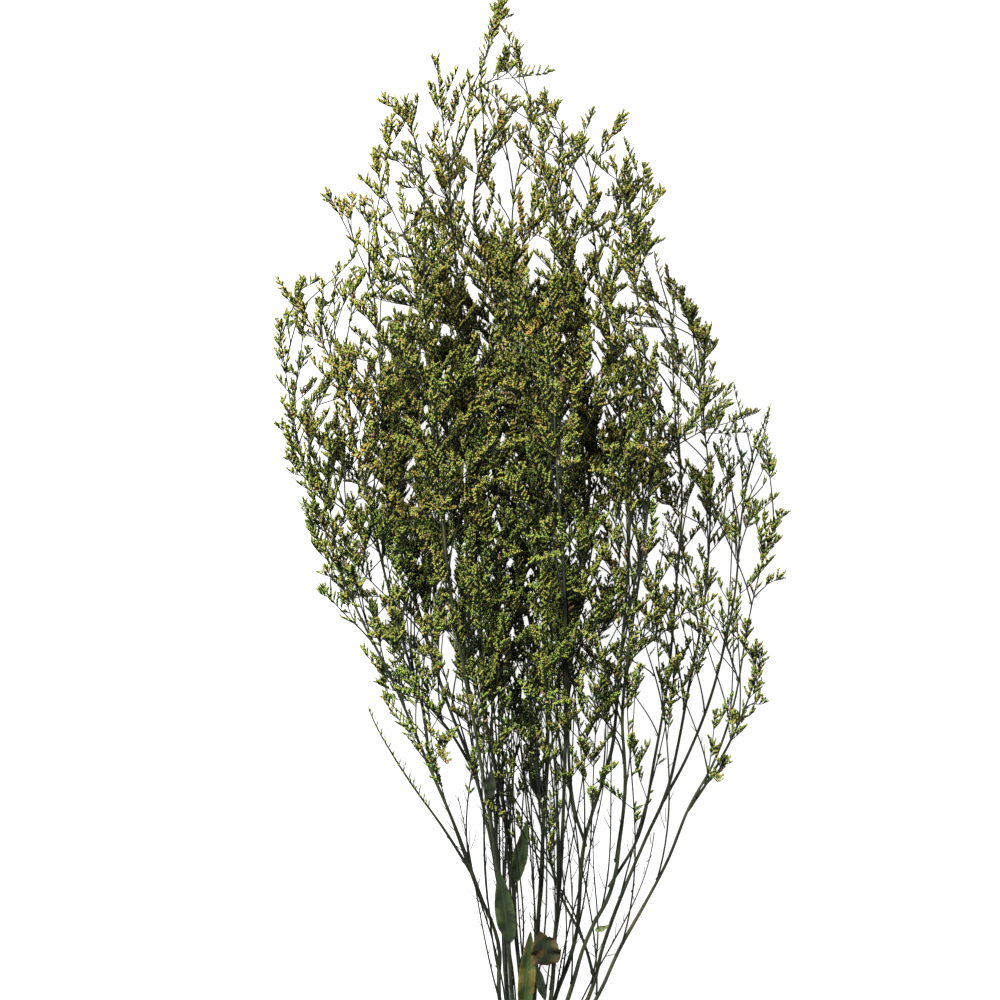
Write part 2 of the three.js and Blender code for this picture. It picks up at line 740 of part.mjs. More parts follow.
/** One cross row of a leaf: an edge, the rib and the other edge, above and below. */
function leafRow(skin, frame, { length, width }, row) {
  const along = row / LEAF_ROWS;
  const half = Math.max(width / 2 * Math.sin(Math.PI * along ** 0.8) ** 0.75, LEAF_STALK / 2);
  const middle = frame.base.clone().addScaledVector(frame.heading, length * along)
    .addScaledVector(frame.normal, LEAF_ARCH * length * along * (1 - along));
  const wave = LEAF_WAVE * half * Math.sin(LEAF_WAVE_TURN * row);
  const points = [1, 0, -1].map((hand) => middle.clone()
    .addScaledVector(frame.wing, hand * half)
    .addScaledVector(frame.normal, Math.abs(hand) * LEAF_FOLD * half + hand * wave));
  return {
    upper: points.map((point) => skin.corner(point)),
    lower: points.map((point) => (
      skin.corner(point.addScaledVector(frame.normal, -LEAF_THICKNESS))
    )),
  };
}

/** A withered leaf seated on a stem, split into triangles alike on both faces. */
function leafSolid(main, plan) {
  const frame = leafFrame(main, plan);
  const skin = new Skin();
  const rows = Array.from({ length: LEAF_ROWS + 1 }, (_, row) => leafRow(skin, frame, plan, row));
  for (let row = 0; row < LEAF_ROWS; row += 1) {
    const near = rows[row];
    const far = rows[row + 1];
    for (const column of [0, 1]) {
      skin.quad([near.upper[column], far.upper[column], far.upper[column + 1],
        near.upper[column + 1]]);
      const [first, second, third, fourth] = [near.lower[column], far.lower[column],
        far.lower[column + 1], near.lower[column + 1]];
      skin.face(first, third, second);
      skin.face(first, fourth, third);
    }
    skin.quad([near.lower[0], far.lower[0], far.upper[0], near.upper[0]]);
    skin.quad([near.upper[2], far.upper[2], far.lower[2], near.lower[2]]);
  }
  const tip = rows[LEAF_ROWS];
  for (const column of [0, 1]) {
    skin.quad([rows[0].upper[column + 1], rows[0].lower[column + 1], rows[0].lower[column],
      rows[0].upper[column]]);
    skin.quad([tip.upper[column], tip.lower[column], tip.lower[column + 1], tip.upper[column + 1]]);
  }
  return skin.solid();
}

/** Outline round the stems in the tie, at a distance from the outer stems' middles. */
function bundleOutline(Form, radius) {
  const corners = [[-2, 0], [2, 0], [3, 1], [2, 2], [-2, 2], [-3, 1]]
    .map(([column, row]) => slotOf(column, row));
  const outline = new Form();
  corners.forEach((corner, place) => {
    const before = corners[(place + corners.length - 1) % corners.length];
    const after = corners[(place + 1) % corners.length];
    const start = Math.atan2(corner.z - before.z, corner.x - before.x) - Math.PI / 2;
    const end = Math.atan2(after.z - corner.z, after.x - corner.x) - Math.PI / 2;
    const turnedEnd = end < start ? end + 2 * Math.PI : end;
    outline.absarc(corner.x, corner.z, radius, start, turnedEnd, false);
  });
  return outline;
}

/** The rubber band: a flat ring drawn tight round the bundle, flat underneath. */
function bandMesh() {
  const inner = STEM_DIAMETER / 2 + BAND_GAP;
  const outline = bundleOutline(THREE.Shape, inner + BAND_THICKNESS);
  outline.holes.push(bundleOutline(THREE.Path, inner));
  const geometry = new THREE.ExtrudeGeometry(outline, {
    depth: BAND_WIDTH, bevelEnabled: false, curveSegments: 2,
  });
  const finish = new THREE.MeshStandardMaterial({ color: BAND_COLOUR, roughness: 0.7 });
  const mesh = new THREE.Mesh(geometry, finish);
  mesh.name = "band";
  mesh.rotation.x = Math.PI / 2;
  mesh.position.y = BAND_WIDTH / 2;
  return mesh;
}

/** Turns a solid into a named mesh with its own material. */
function meshOf(name, solid, color) {
  const { vertProperties, triVerts } = solid.getMesh();
  const geometry = new THREE.BufferGeometry();
  geometry.setAttribute("position", new THREE.BufferAttribute(vertProperties, 3));
  geometry.setIndex(new THREE.BufferAttribute(triVerts, 1));
  geometry.computeVertexNormals();
  const mesh = new THREE.Mesh(geometry, new THREE.MeshStandardMaterial({ color, roughness: 0.8 }));
  mesh.name = name;
  return mesh;
}

const bunch = growBunch();
const group = new THREE.Group();
STEMS.forEach((plan, stem) => {
  const solid = bunch.axes
    .filter((axis) => axis.stem === stem && !axis.isTooFine)
    .map(axisSolid)
    .reduce((grown, axis) => grown.add(axis));
  group.add(meshOf(`stem_${stem + 1}`, solid, STEM_COLOUR));
});
LEAVES.forEach((plan, place) => {
  const main = bunch.axes.find((axis) => axis.stem === plan.stem - 1);
  group.add(meshOf(`leaf_${place + 1}`, leafSolid(main, plan), plan.colour));
});
group.add(bandMesh());

// The middle of the bunch's footprint lies on the frame's origin.
group.updateMatrixWorld(true);
const box = new THREE.Box3().setFromObject(group);
const middle = box.getCenter(new THREE.Vector3());
group.position.set(-middle.x, -middle.y, -box.min.z);

export default group;
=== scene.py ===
"""Dresses a tied bunch of dried caspia that lies on a pale surface.

The plant is grown again by the plan and the rule of its solids, as round tapering axes. It then
gets what is too fine for them: the last twigs and shoots, the sprigs that the florets sit on, the
florets at their real size, the scales at the forks, the veined leaves and the wound rubber band.
The plan is in millimetres from the tie's middle: X across, Y towards the tips, Z up.
"""

from __future__ import annotations

import logging
import math
from dataclasses import dataclass, field
from enum import Enum
from functools import partial
from typing import Callable, Iterable, Mapping, NamedTuple, Sequence

import bpy
import numpy as np
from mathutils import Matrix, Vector


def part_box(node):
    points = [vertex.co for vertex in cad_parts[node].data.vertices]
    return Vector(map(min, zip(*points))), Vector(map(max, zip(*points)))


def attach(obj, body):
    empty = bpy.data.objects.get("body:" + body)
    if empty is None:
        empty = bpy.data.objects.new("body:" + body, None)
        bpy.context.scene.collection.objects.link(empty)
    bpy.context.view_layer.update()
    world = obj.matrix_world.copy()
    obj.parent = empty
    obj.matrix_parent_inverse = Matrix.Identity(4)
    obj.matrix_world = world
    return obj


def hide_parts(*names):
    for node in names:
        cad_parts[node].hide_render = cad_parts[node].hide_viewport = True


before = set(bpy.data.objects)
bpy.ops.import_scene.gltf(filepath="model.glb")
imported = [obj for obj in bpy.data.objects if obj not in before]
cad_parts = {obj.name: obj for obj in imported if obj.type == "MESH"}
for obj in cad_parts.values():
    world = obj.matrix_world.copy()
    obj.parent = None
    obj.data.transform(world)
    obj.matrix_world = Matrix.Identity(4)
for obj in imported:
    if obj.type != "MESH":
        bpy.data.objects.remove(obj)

LOG = logging.getLogger("dried_caspia")
Array = np.ndarray
Way = tuple[tuple[float, float], ...]
Spot = tuple[Array, Array, Array]
Spread = tuple[float, float]
Swing = tuple[float, float]

METRES = 0.001
SEED = 4100
GOLDEN_ANGLE = math.pi * (3 - math.sqrt(5))
ALONG = np.array([0.0, 1.0, 0.0])
UP = np.array([0.0, 0.0, 1.0])
TINY = 1e-6


def mix(start: float | Array, end: float | Array, share: float | Array) -> float | Array:
    """Blend two values, or two arrays of them, by a share."""
    return start + (end - start) * share


def smooth(share: float) -> float:
    """Ease a share in and out, held between 0 and 1."""
    held = min(max(share, 0.0), 1.0)
    return held * held * (3 - 2 * held)


def unit(vectors: Array) -> Array:
    """Scale one vector, or each row of an array of them, to length 1."""
    return vectors / np.maximum(np.linalg.norm(vectors, axis=-1, keepdims=True), TINY**2)


def turned(first: Array, second: Array, angle: float | Array) -> Array:
    """Find the direction at an angle from one direction towards another.

    Args:
        first: Unit direction, or rows of them, at angle 0.
        second: Unit direction at a right angle to the first.
        angle: Angle in radians, or an array of them with a last axis of 1.

    Returns:
        The unit direction, or rows of them.
    """
    return first * np.cos(angle) + second * np.sin(angle)


def across(directions: Array, sides: Array) -> Array:
    """Take from each side direction what runs along a direction, and scale it to 1."""
    overlap = np.sum(directions * sides, axis=-1, keepdims=True)
    return unit(sides - directions * overlap)


def linear(hex_colour: str) -> tuple[float, float, float, float]:
    """Turn a hex colour into a linear one, by the numbers of the sRGB standard.

    Args:
        hex_colour: The sRGB colour, a hash and six digits.

    Returns:
        Linear red, green and blue, and an alpha of 1.
    """
    values = [int(hex_colour[place : place + 2], 16) / 255 for place in (1, 3, 5)]
    red, green, blue = (
        value / 12.92 if value <= 0.04045 else ((value + 0.055) / 1.055) ** 2.4
        for value in values
    )
    return red, green, blue, 1.0


class Purpose(Enum):
    """What numbers are drawn for, each with its own run of seeds."""

    OUTER = 0
    INNER = 100
    TWIGS = 200
    SPRAYS = 500
    THINNING = 600
    SHOOTS = 700


class Draws:
    """A repeatable source of numbers from 0 to 1, the same as the solids' source."""

    MASK = 0xFFFFFFFF

    def __init__(self, purpose: Purpose, stem: int) -> None:
        """Start the source for a purpose and a stem's number."""
        self.state = (SEED + purpose.value + stem) & self.MASK

    def next(self) -> float:
        """Give the next number.

        Returns:
            The number, by the shifts and factors of the solids' own source.
        """
        self.state = (self.state + 0x6D2B79F5) & self.MASK
        state = self.state
        mixed = ((state ^ (state >> 15)) * (1 | state)) & self.MASK
        product = ((mixed ^ (mixed >> 7)) * (61 | mixed)) & self.MASK
        mixed = ((mixed + product) & self.MASK) ^ mixed
        return ((mixed ^ (mixed >> 14)) & self.MASK) / (self.MASK + 1)

    def above(self, spread: Spread) -> float:
        """Give a number from the spread's least one up."""
        return spread[0] + spread[1] * self.next()

    def about(self, swing: Swing) -> float:
        """Give a number about zero, with the swing's share of them below it."""
        return swing[0] * (self.next() - swing[1])

    def hand(self) -> int:
        """Give one hand or the other, as 1 or -1."""
        return 1 if self.next() < 0.5 else -1


# The plan of the plant, shared with its solids


class Habit(Enum):
    """How full the sprays of a limb are."""

    FULL = "full"
    SPARSE = "sparse"


@dataclass(frozen=True)
class ForkPlan:
    """A long side limb: the height it leaves at, the height it rises to, and its way."""

    start: float
    lift: float
    way: Way
    habit: Habit = Habit.FULL


@dataclass(frozen=True)
class StemPlan:
    """A stem: its place in the tie, its head's height, its way, forks and outer tips."""

    column: int
    row: int
    lift: float
    way: Way
    forks: tuple[ForkPlan, ...] = ()
    tips: Way = ()


@dataclass(frozen=True)
class LeafPlan:
    """A leaf: its stem, its height on it, its size and how it is turned, and its tone."""

    stem: int
    start: float
    length: float
    width: float
    lean: float
    side: float
    rise: float
    roll: float
    tone: "LeafTone"


class LeafTone(Enum):
    """Colours of a withered leaf: its blade, its dried patches, its rib and veins."""

    GREEN = ("#1d2c13", "#33401a", "#36472a")
    DARK_GREEN = ("#1a2514", "#2c3018", "#343f26")
    OLIVE = ("#35471b", "#6c6026", "#4a5730")
    BROWN = ("#232d14", "#4f3a1a", "#33381f")
    BRACT = ("#56683a", "#767c46", "#858d58")


STEMS = (
    StemPlan(
        -3, 1, 84,
        ((-17, 87), (-17, 118), (-28, 147), (-43, 189), (-62, 234), (-81, 279), (-102, 321),
         (-119, 363), (-133, 405), (-142, 447), (-149, 493)),
        (
            ForkPlan(159, 70, ((-50, 188), (-71, 218), (-88, 246), (-95, 261)), Habit.SPARSE),
            ForkPlan(225, 104, ((-63, 263), (-74, 300), (-86, 345), (-98, 399), (-109, 447),
                                (-123, 482), (-148, 518))),
        ),
        ((-146, 431), (-144, 414), (-128, 399), (-120, 346), (-122, 334), (-105, 337),
         (-66, 238), (-136, 509), (-122, 516), (-104, 513), (-97, 527)),
    ),
    StemPlan(
        -2, 0, 32,
        ((-12, 87), (-14, 129), (-20, 171), (-31, 219), (-47, 261), (-61, 303), (-73, 351),
         (-82, 405), (-88, 459), (-93, 513), (-109, 551), (-121, 574)),
        (ForkPlan(222, 58, ((-46, 246), (-64, 267), (-89, 284))),),
        ((-110, 566), (-95, 558), (-83, 309)),
    ),
    StemPlan(
        -2, 2, 118,
        ((-9, 87), (-12, 129), (-18, 171), (-26, 219), (-34, 267), (-45, 327), (-52, 393),
         (-58, 459), (-61, 525), (-62, 579), (-71, 611), (-85, 627)),
        (),
        ((-71, 622), (-62, 617), (-85, 602), (-71, 595), (-92, 591), (-94, 578)),
    ),
    StemPlan(
        -1, 1, 84,
        ((-3, 87), (-7, 129), (-9, 171), (-16, 213), (-25, 255), (-28, 297), (-31, 351),
         (-34, 417), (-38, 483), (-44, 543), (-46, 577), (-39, 618), (-26, 649), (-13, 687)),
        (),
        ((-54, 649), (-35, 641), (-59, 635), (-62, 626), (-24, 628), (-7, 649)),
    ),
    StemPlan(
        0, 0, 32,
        ((5, 87), (7, 129), (9, 165), (11, 207), (13, 255), (10, 315), (4, 375), (-3, 441),
         (-9, 501), (-9, 555), (-4, 591), (7, 625)),
        (ForkPlan(429, 60, ((-14, 489), (-27, 537), (-32, 567), (-25, 597), (-8, 629))),),
        ((14, 237), (15, 603)),
    ),
    StemPlan(
        0, 2, 134,
        ((15, 87), (17, 123), (20, 159), (22, 207), (23, 267), (22, 339), (17, 417),
         (15, 489), (17, 549), (21, 579), (29, 601)),
        (),
        ((21, 610), (36, 588)),
    ),
    StemPlan(
        1, 1, 96,
        ((18, 87), (29, 118), (32, 147), (34, 177), (42, 207), (51, 237), (55, 279),
         (59, 327), (61, 375), (56, 429), (49, 489), (40, 543), (39, 580), (47, 600),
         (58, 616)),
        (ForkPlan(177, 66, ((28, 204), (25, 243), (27, 297), (35, 351), (38, 417), (32, 477),
                            (26, 525), (17, 567), (-6, 612))),),
        ((33, 604),),
    ),
    StemPlan(
        2, 2, 120,
        ((26, 87), (36, 121), (51, 152), (56, 183), (59, 219), (57, 261), (63, 315),
         (71, 375), (74, 435), (68, 489), (63, 537), (69, 557), (80, 571)),
        (ForkPlan(152, 92, ((68, 186), (77, 231), (85, 279), (89, 327), (93, 387), (89, 435),
                            (87, 482), (89, 517)), Habit.SPARSE),),
        ((52, 584), (58, 593), (70, 586), (75, 579), (73, 540), (76, 533), (76, 510), (75, 499)),
    ),
    StemPlan(
        2, 0, 38,
        ((39, 87), (46, 114), (57, 145), (73, 183), (85, 210), (92, 240), (98, 273),
         (107, 321), (111, 375), (109, 417), (104, 453), (109, 481)),
        (
            ForkPlan(202, 74, ((98, 233), (113, 273), (125, 327), (129, 375), (135, 412),
                               (146, 442)), Habit.SPARSE),
            ForkPlan(96, 66, ((34, 120), (19, 151), (12, 182), (6, 220), (-2, 262))),
        ),
        ((99, 499), (107, 489), (113, 467), (116, 448), (119, 438), (117, 424), (125, 423),
         (144, 399), (132, 390)),
    ),
    StemPlan(
        3, 1, 84,
        ((44, 87), (56, 114), (74, 147), (86, 171), (98, 202), (113, 230), (125, 267),
         (133, 315), (141, 349), (151, 379)),
        (ForkPlan(199, 98, ((110, 219), (124, 246), (135, 276), (137, 297))),),
        ((137, 377), (146, 339), (140, 289), (139, 268), (136, 260), (102, 342), (115, 326),
         (106, 309), (118, 231)),
    ),
)

LEAVES = (
    LeafPlan(3, 119, 50, 13, -0.06, 0.3, 0.12, 0.3, LeafTone.GREEN),
    LeafPlan(6, 106, 27, 19, -0.35, -0.6, 0.3, -0.2, LeafTone.BROWN),
    LeafPlan(4, 74, 54, 11, 0.1, 0.5, 0.1, -0.2, LeafTone.OLIVE),
    LeafPlan(6, 84, 25, 6, -0.3, -1.1, 0.1, 0.3, LeafTone.DARK_GREEN),
    LeafPlan(4, 156, 42, 9, 0.25, 0.5, 0.15, 0.2, LeafTone.GREEN),
    LeafPlan(8, 128, 9, 4, 0.9, 0.4, 0.2, 0, LeafTone.BRACT),
    LeafPlan(3, 208, 21, 7, 0.25, 0.4, 0.2, 0.3, LeafTone.DARK_GREEN),
    LeafPlan(5, 206, 23, 8, -0.45, -0.5, 0.3, 0, LeafTone.DARK_GREEN),
)


@dataclass(frozen=True)
class Head:
    """The head's outline seen from above, as rows of (y, left, right), and its depth."""

    rows: tuple[tuple[float, float, float], ...] = (
        (90, -20, 46), (150, -30, 76), (207, -66, 100), (261, -97, 137), (300, -104, 140),
        (345, -124, 148), (400, -146, 151), (441, -147, 150), (495, -150, 104),
        (545, -120, 84), (590, -98, 72), (630, -78, 30), (660, -42, 2), (690, -20, -6),
    )
    depth_share: float = 0.62
    middle_height: float = 80.0
    lowest_axis: float = 3.4

    def top_over(self, x: float, y: float) -> float:
        """Find the height of the head's upper surface over a point.

        Args:
            x: Distance across the bunch.
            y: Distance along it.

        Returns:
            The height, or 0 outside the outline.
        """
        row = 1
        while row < len(self.rows) - 1 and self.rows[row][0] < y:
            row += 1
        low_y, low_left, low_right = self.rows[row - 1]
        high_y, high_left, high_right = self.rows[row]
        share = min(max((y - low_y) / (high_y - low_y), 0), 1)
        left = mix(low_left, high_left, share)
        right = mix(low_right, high_right, share)
        half = (right - left) / 2
        offset = (x - (left + right) / 2) / half
        if abs(offset) >= 1 or y > self.rows[-1][0]:
            return 0.0
        return self.middle_height + self.depth_share * half * math.sqrt(1 - offset * offset)

    def lifted(self, point: Array) -> Array:
        """Keep a point of an axis at or above the lowest height for one."""
        return np.array([point[0], point[1], max(point[2], self.lowest_axis)])


HEAD = Head()


@dataclass(frozen=True)
class Tie:
    """The stems' places in the tie, and the rubber band round them."""

    stem_diameter: float = 3.2
    stem_gap: float = 0.4
    cut_below: float = 52.0
    cut_end_spread: float = 0.8
    fan_spacing: float = 29.0
    fan_power: float = 1.5
    rise_length: float = 360.0
    straight: float = 7.0
    band_width: float = 7.0
    band_thickness: float = 1.4
    band_gap: float = 0.5

    def slot(self, column: int, row: int) -> Array:
        """Find the middle of a stem in the tie.

        Args:
            column: Place across, in half pitches from the middle.
            row: Row, counted up from the surface.

        Returns:
            The stem's middle.
        """
        pitch = self.stem_diameter + self.stem_gap
        first_row = self.band_thickness + self.band_gap + self.stem_diameter / 2
        return np.array([column * pitch / 2, 0.0, first_row + row * pitch * math.sqrt(3) / 2])


TIE = Tie()


# Curves and axes


class Curve:
    """A curve that is read by shares of its length."""

    DIVISIONS = 200
    STEPS = 400

    def __init__(self) -> None:
        """Measure the curve."""
        self.raw = np.linspace(0, 1, self.DIVISIONS + 1)
        steps = np.diff(self.point(self.raw), axis=0)
        self.lengths = np.concatenate([[0.0], np.cumsum(np.linalg.norm(steps, axis=1))])
        self.length = float(self.lengths[-1])

    def point(self, places: Array) -> Array:
        """Give the points at raw places from 0 to 1, one row each."""
        raise NotImplementedError

    def at(self, shares: Array) -> Array:
        """Give the points at shares of the length, one row each."""
        held = np.minimum(np.asarray(shares, float), 1.0)
        return self.point(np.interp(held * self.length, self.lengths, self.raw))

    def share_at_y(self, y: float) -> float:
        """Find where the curve first reaches a distance along the bunch.

        Args:
            y: The distance.

        Returns:
            The share of the length, or 1 where the curve stays below it.
        """
        heights = self.at(np.arange(self.STEPS + 1) / self.STEPS)[:, 1]
        reached = np.nonzero(heights >= y)[0]
        return reached[0] / self.STEPS if len(reached) else 1.0


class SmoothCurve(Curve):
    """A smooth curve through given points."""

    def __init__(self, points: Iterable[Sequence[float]]) -> None:
        """Lay the curve through the points."""
        self.points = np.array([list(point) for point in points], float)
        super().__init__()

    def point(self, places: Array) -> Array:
        """Find points of the curve.

        Args:
            places: Raw places from 0 to 1.

        Returns:
            The points, one row each.
        """
        last = len(self.points) - 1
        place = np.atleast_1d(places) * last
        span = np.minimum(np.floor(place).astype(int), last - 1)
        within = (place - span)[:, None]
        first = 2 * self.points[0] - self.points[1]
        end = 2 * self.points[last] - self.points[last - 1]
        padded = np.vstack([first, self.points, end])
        before, start, stop, after = (padded[span + shift] for shift in range(4))
        leaving = (stop - before) / 2
        arriving = (after - start) / 2
        return (
            (2 * start - 2 * stop + leaving + arriving) * within**3
            + (-3 * start + 3 * stop - 2 * leaving - arriving) * within**2
            + leaving * within
            + start
        )

    def stretch(self, start: float, end: float, count: int) -> SmoothCurve:
        """Lay a curve along the stretch between two shares, through count + 1 points."""
        return SmoothCurve(self.at(mix(start, end, np.arange(count + 1) / count)))


class BentCurve(Curve):
    """A side axis's curve, which leaves its parent at a slant and bends up."""

    def __init__(self, handles: Sequence[Array]) -> None:
        """Lay the curve by its two ends and the two handles between them."""
        self.handles = [np.asarray(handle, float) for handle in handles]
        super().__init__()

    @classmethod
    def between(cls, root: Array, parent_way: Array, tip: Array, bend: float) -> BentCurve:
        """Lay a curve from a root to a tip.

        Args:
            root: Point on the parent's centre line.
            parent_way: Direction of the parent there.
            tip: End of the curve.
            bend: Share by which both ends turn.

        Returns:
            The curve.
        """
        reach = tip - root
        third = float(np.linalg.norm(reach)) / 3
        straight = unit(reach)
        leaving = unit(mix(straight, parent_way, bend))
        arriving = unit(mix(straight, ALONG, bend))
        return cls([
            root,
            HEAD.lifted(root + leaving * third),
            HEAD.lifted(tip - arriving * third),
            HEAD.lifted(tip),
        ])

    def point(self, places: Array) -> Array:
        """Find points of the curve.

        Args:
            places: Raw places from 0 to 1.

        Returns:
            The points, one row each.
        """
        place = np.atleast_1d(places)[:, None]
        rest = 1 - place
        root, first, second, tip = self.handles
        return (
            rest**3 * root
            + 3 * rest**2 * place * first
            + 3 * rest * place**2 * second
            + place**3 * tip
        )


class AxisSize(NamedTuple):
    """The solids' root diameter, segments of the bare stretch and most pairs of florets."""

    diameter: float
    rings: int
    florets: int


class AxisKind(Enum):
    """Ranks of axis, from the main stem to the twigs, with their sizes."""

    STEM = AxisSize(3.2, 14, 0)
    FORK = AxisSize(2.3, 2, 7)
    TOP = AxisSize(2.0, 2, 7)
    BRANCH = AxisSize(2.0, 2, 6)
    TWIG = AxisSize(2.0, 1, 4)
    SHOOT = AxisSize(1.4, 4, 0)


@dataclass(frozen=True)
class AxisRule:
    """The sizes that every axis of the solids is laid out by."""

    tip_diameter: float = 1.5
    stem_top_diameter: float = 2.0
    root_taper: float = 4.5
    floret_spacing: float = 9.5
    floret_out: float = 6.2
    fewest_florets: int = 2
    bare_root: float = 16.0
    most_flowering: float = 0.7
    sample_step: float = 3.5
    bare_room: float = 1.3
    flower_room: float = 4.8
    fewest_steps: int = 3


class Axis:
    """An axis of the plant: its curve, its segments and the room that it takes."""

    RULE = AxisRule()

    def __init__(
        self,
        stem: int,
        kind: AxisKind,
        curve: Curve,
        parent_way: Array,
        habit: Habit = Habit.FULL,
        extra_rings: int = 0,
        extra_shares: Sequence[float] = (),
    ) -> None:
        """Lay out the axis.

        Args:
            stem: Number of its stem.
            kind: Its rank.
            curve: Its curve.
            parent_way: Direction of its parent, which its upper side faces.
            habit: How full its sprays are.
            extra_rings: Segments on its bare stretch besides those of its rank.
            extra_shares: Shares of its length that get a ring of their own.
        """
        rule = self.RULE
        self.stem = stem
        self.kind = kind
        self.curve = curve
        self.habit = habit
        self.length = curve.length
        cut = kind is AxisKind.STEM
        size = kind.value
        rings = size.rings + extra_rings
        fitting = math.floor((self.length - rule.bare_root) / rule.floret_spacing)
        count = min(size.florets, max(fitting, rule.fewest_florets))
        flowering = min(count * rule.floret_spacing / self.length, rule.most_flowering)
        first = 0.0 if cut else rule.root_taper / self.length
        shares = list(extra_shares) if cut else [0.0]
        shares += [mix(first, 1 - flowering, ring / rings) for ring in range(rings + 1)]
        shares.sort()
        self.flowers_from = len(shares) - 1 if count > 0 else len(shares)
        shares += [1 - flowering + flowering * ring / count for ring in range(1, count + 1)]
        self.shares = np.array(shares)
        self.points = curve.at(self.shares)
        places = np.arange(len(shares))
        after = np.minimum(places + 1, places[-1])
        before = np.maximum(places - 1, 0)
        self.tangents = unit(self.points[after] - self.points[before])
        tip_diameter = rule.stem_top_diameter if cut else rule.tip_diameter
        self.radii = mix(size.diameter, tip_diameter, self.shares) / 2
        self.uppers = self.carried(self.tangents, parent_way)
        self.taken, self.rooms = self.samples()
        self.low, self.high = self.taken.min(axis=0), self.taken.max(axis=0)
        self.is_fine = False

    @staticmethod
    def carried(tangents: Array, parent_way: Array) -> Array:
        """Carry an upper side along without twisting.

        Args:
            tangents: Directions of the rings.
            parent_way: Direction that the upper side faces at the root.

        Returns:
            The upper side at each ring.
        """
        upper = parent_way
        rows = []
        for tangent in tangents:
            upper = across(tangent, upper)
            rows.append(upper)
        return np.array(rows)

    def ring_after(self, share: float) -> int:
        """Find the ring that ends the segment at a share of the length."""
        reached = np.nonzero(self.shares >= share)[0]
        return max(int(reached[0]) if len(reached) else -1, 1)

    def centre_at(self, share: float) -> Array:
        """Find a point on the centre line of the segments.

        Args:
            share: Its share of the length.

        Returns:
            The point.
        """
        ring = self.ring_after(share)
        start = self.shares[ring - 1]
        within = (share - start) / (self.shares[ring] - start)
        return mix(self.points[ring - 1], self.points[ring], within)

    def way_at(self, share: float) -> Array:
        """Give the direction of the segment at a share of the length."""
        ring = self.ring_after(share)
        return unit(self.points[ring] - self.points[ring - 1])

    def upper_at(self, share: float) -> Array:
        """Give the upper side at a share of the length."""
        return self.uppers[self.ring_after(share)]

    def samples(self) -> tuple[Array, Array]:
        """Mark the room that the axis and its florets take.

        Returns:
            Points along the axis, and the room that each keeps.
        """
        rule = self.RULE
        points, rooms = [], []
        for ring in range(len(self.points) - 1):
            start, end = self.points[ring], self.points[ring + 1]
            steps = math.ceil(float(np.linalg.norm(end - start)) / rule.sample_step)
            flowering = ring >= self.flowers_from
            raised = self.uppers[ring] * (rule.floret_out / 2 if flowering else 0.0)
            within = (np.arange(1, steps + 1) / steps)[:, None]
            points.append(mix(start, end, within) + raised)
            room = rule.flower_room if flowering else self.radii[ring] + rule.bare_room
            rooms.append(np.full(steps, room))
        return np.vstack(points), np.concatenate(rooms)

    def drawn(self, step: float, start: float = 0.0) -> tuple[Array, Array, Array]:
        """Sample the axis closely.

        Args:
            step: Distance between samples.
            start: Share of the length to start from.

        Returns:
            Points, directions and upper sides, one row each.
        """
        count = max(math.ceil(self.length * (1 - start) / step), self.RULE.fewest_steps)
        points = self.curve.at(mix(start, 1.0, np.arange(count + 1) / count))
        ways = unit(np.gradient(points, axis=0))
        return points, ways, self.carried(ways, self.upper_at(max(start, TINY)))


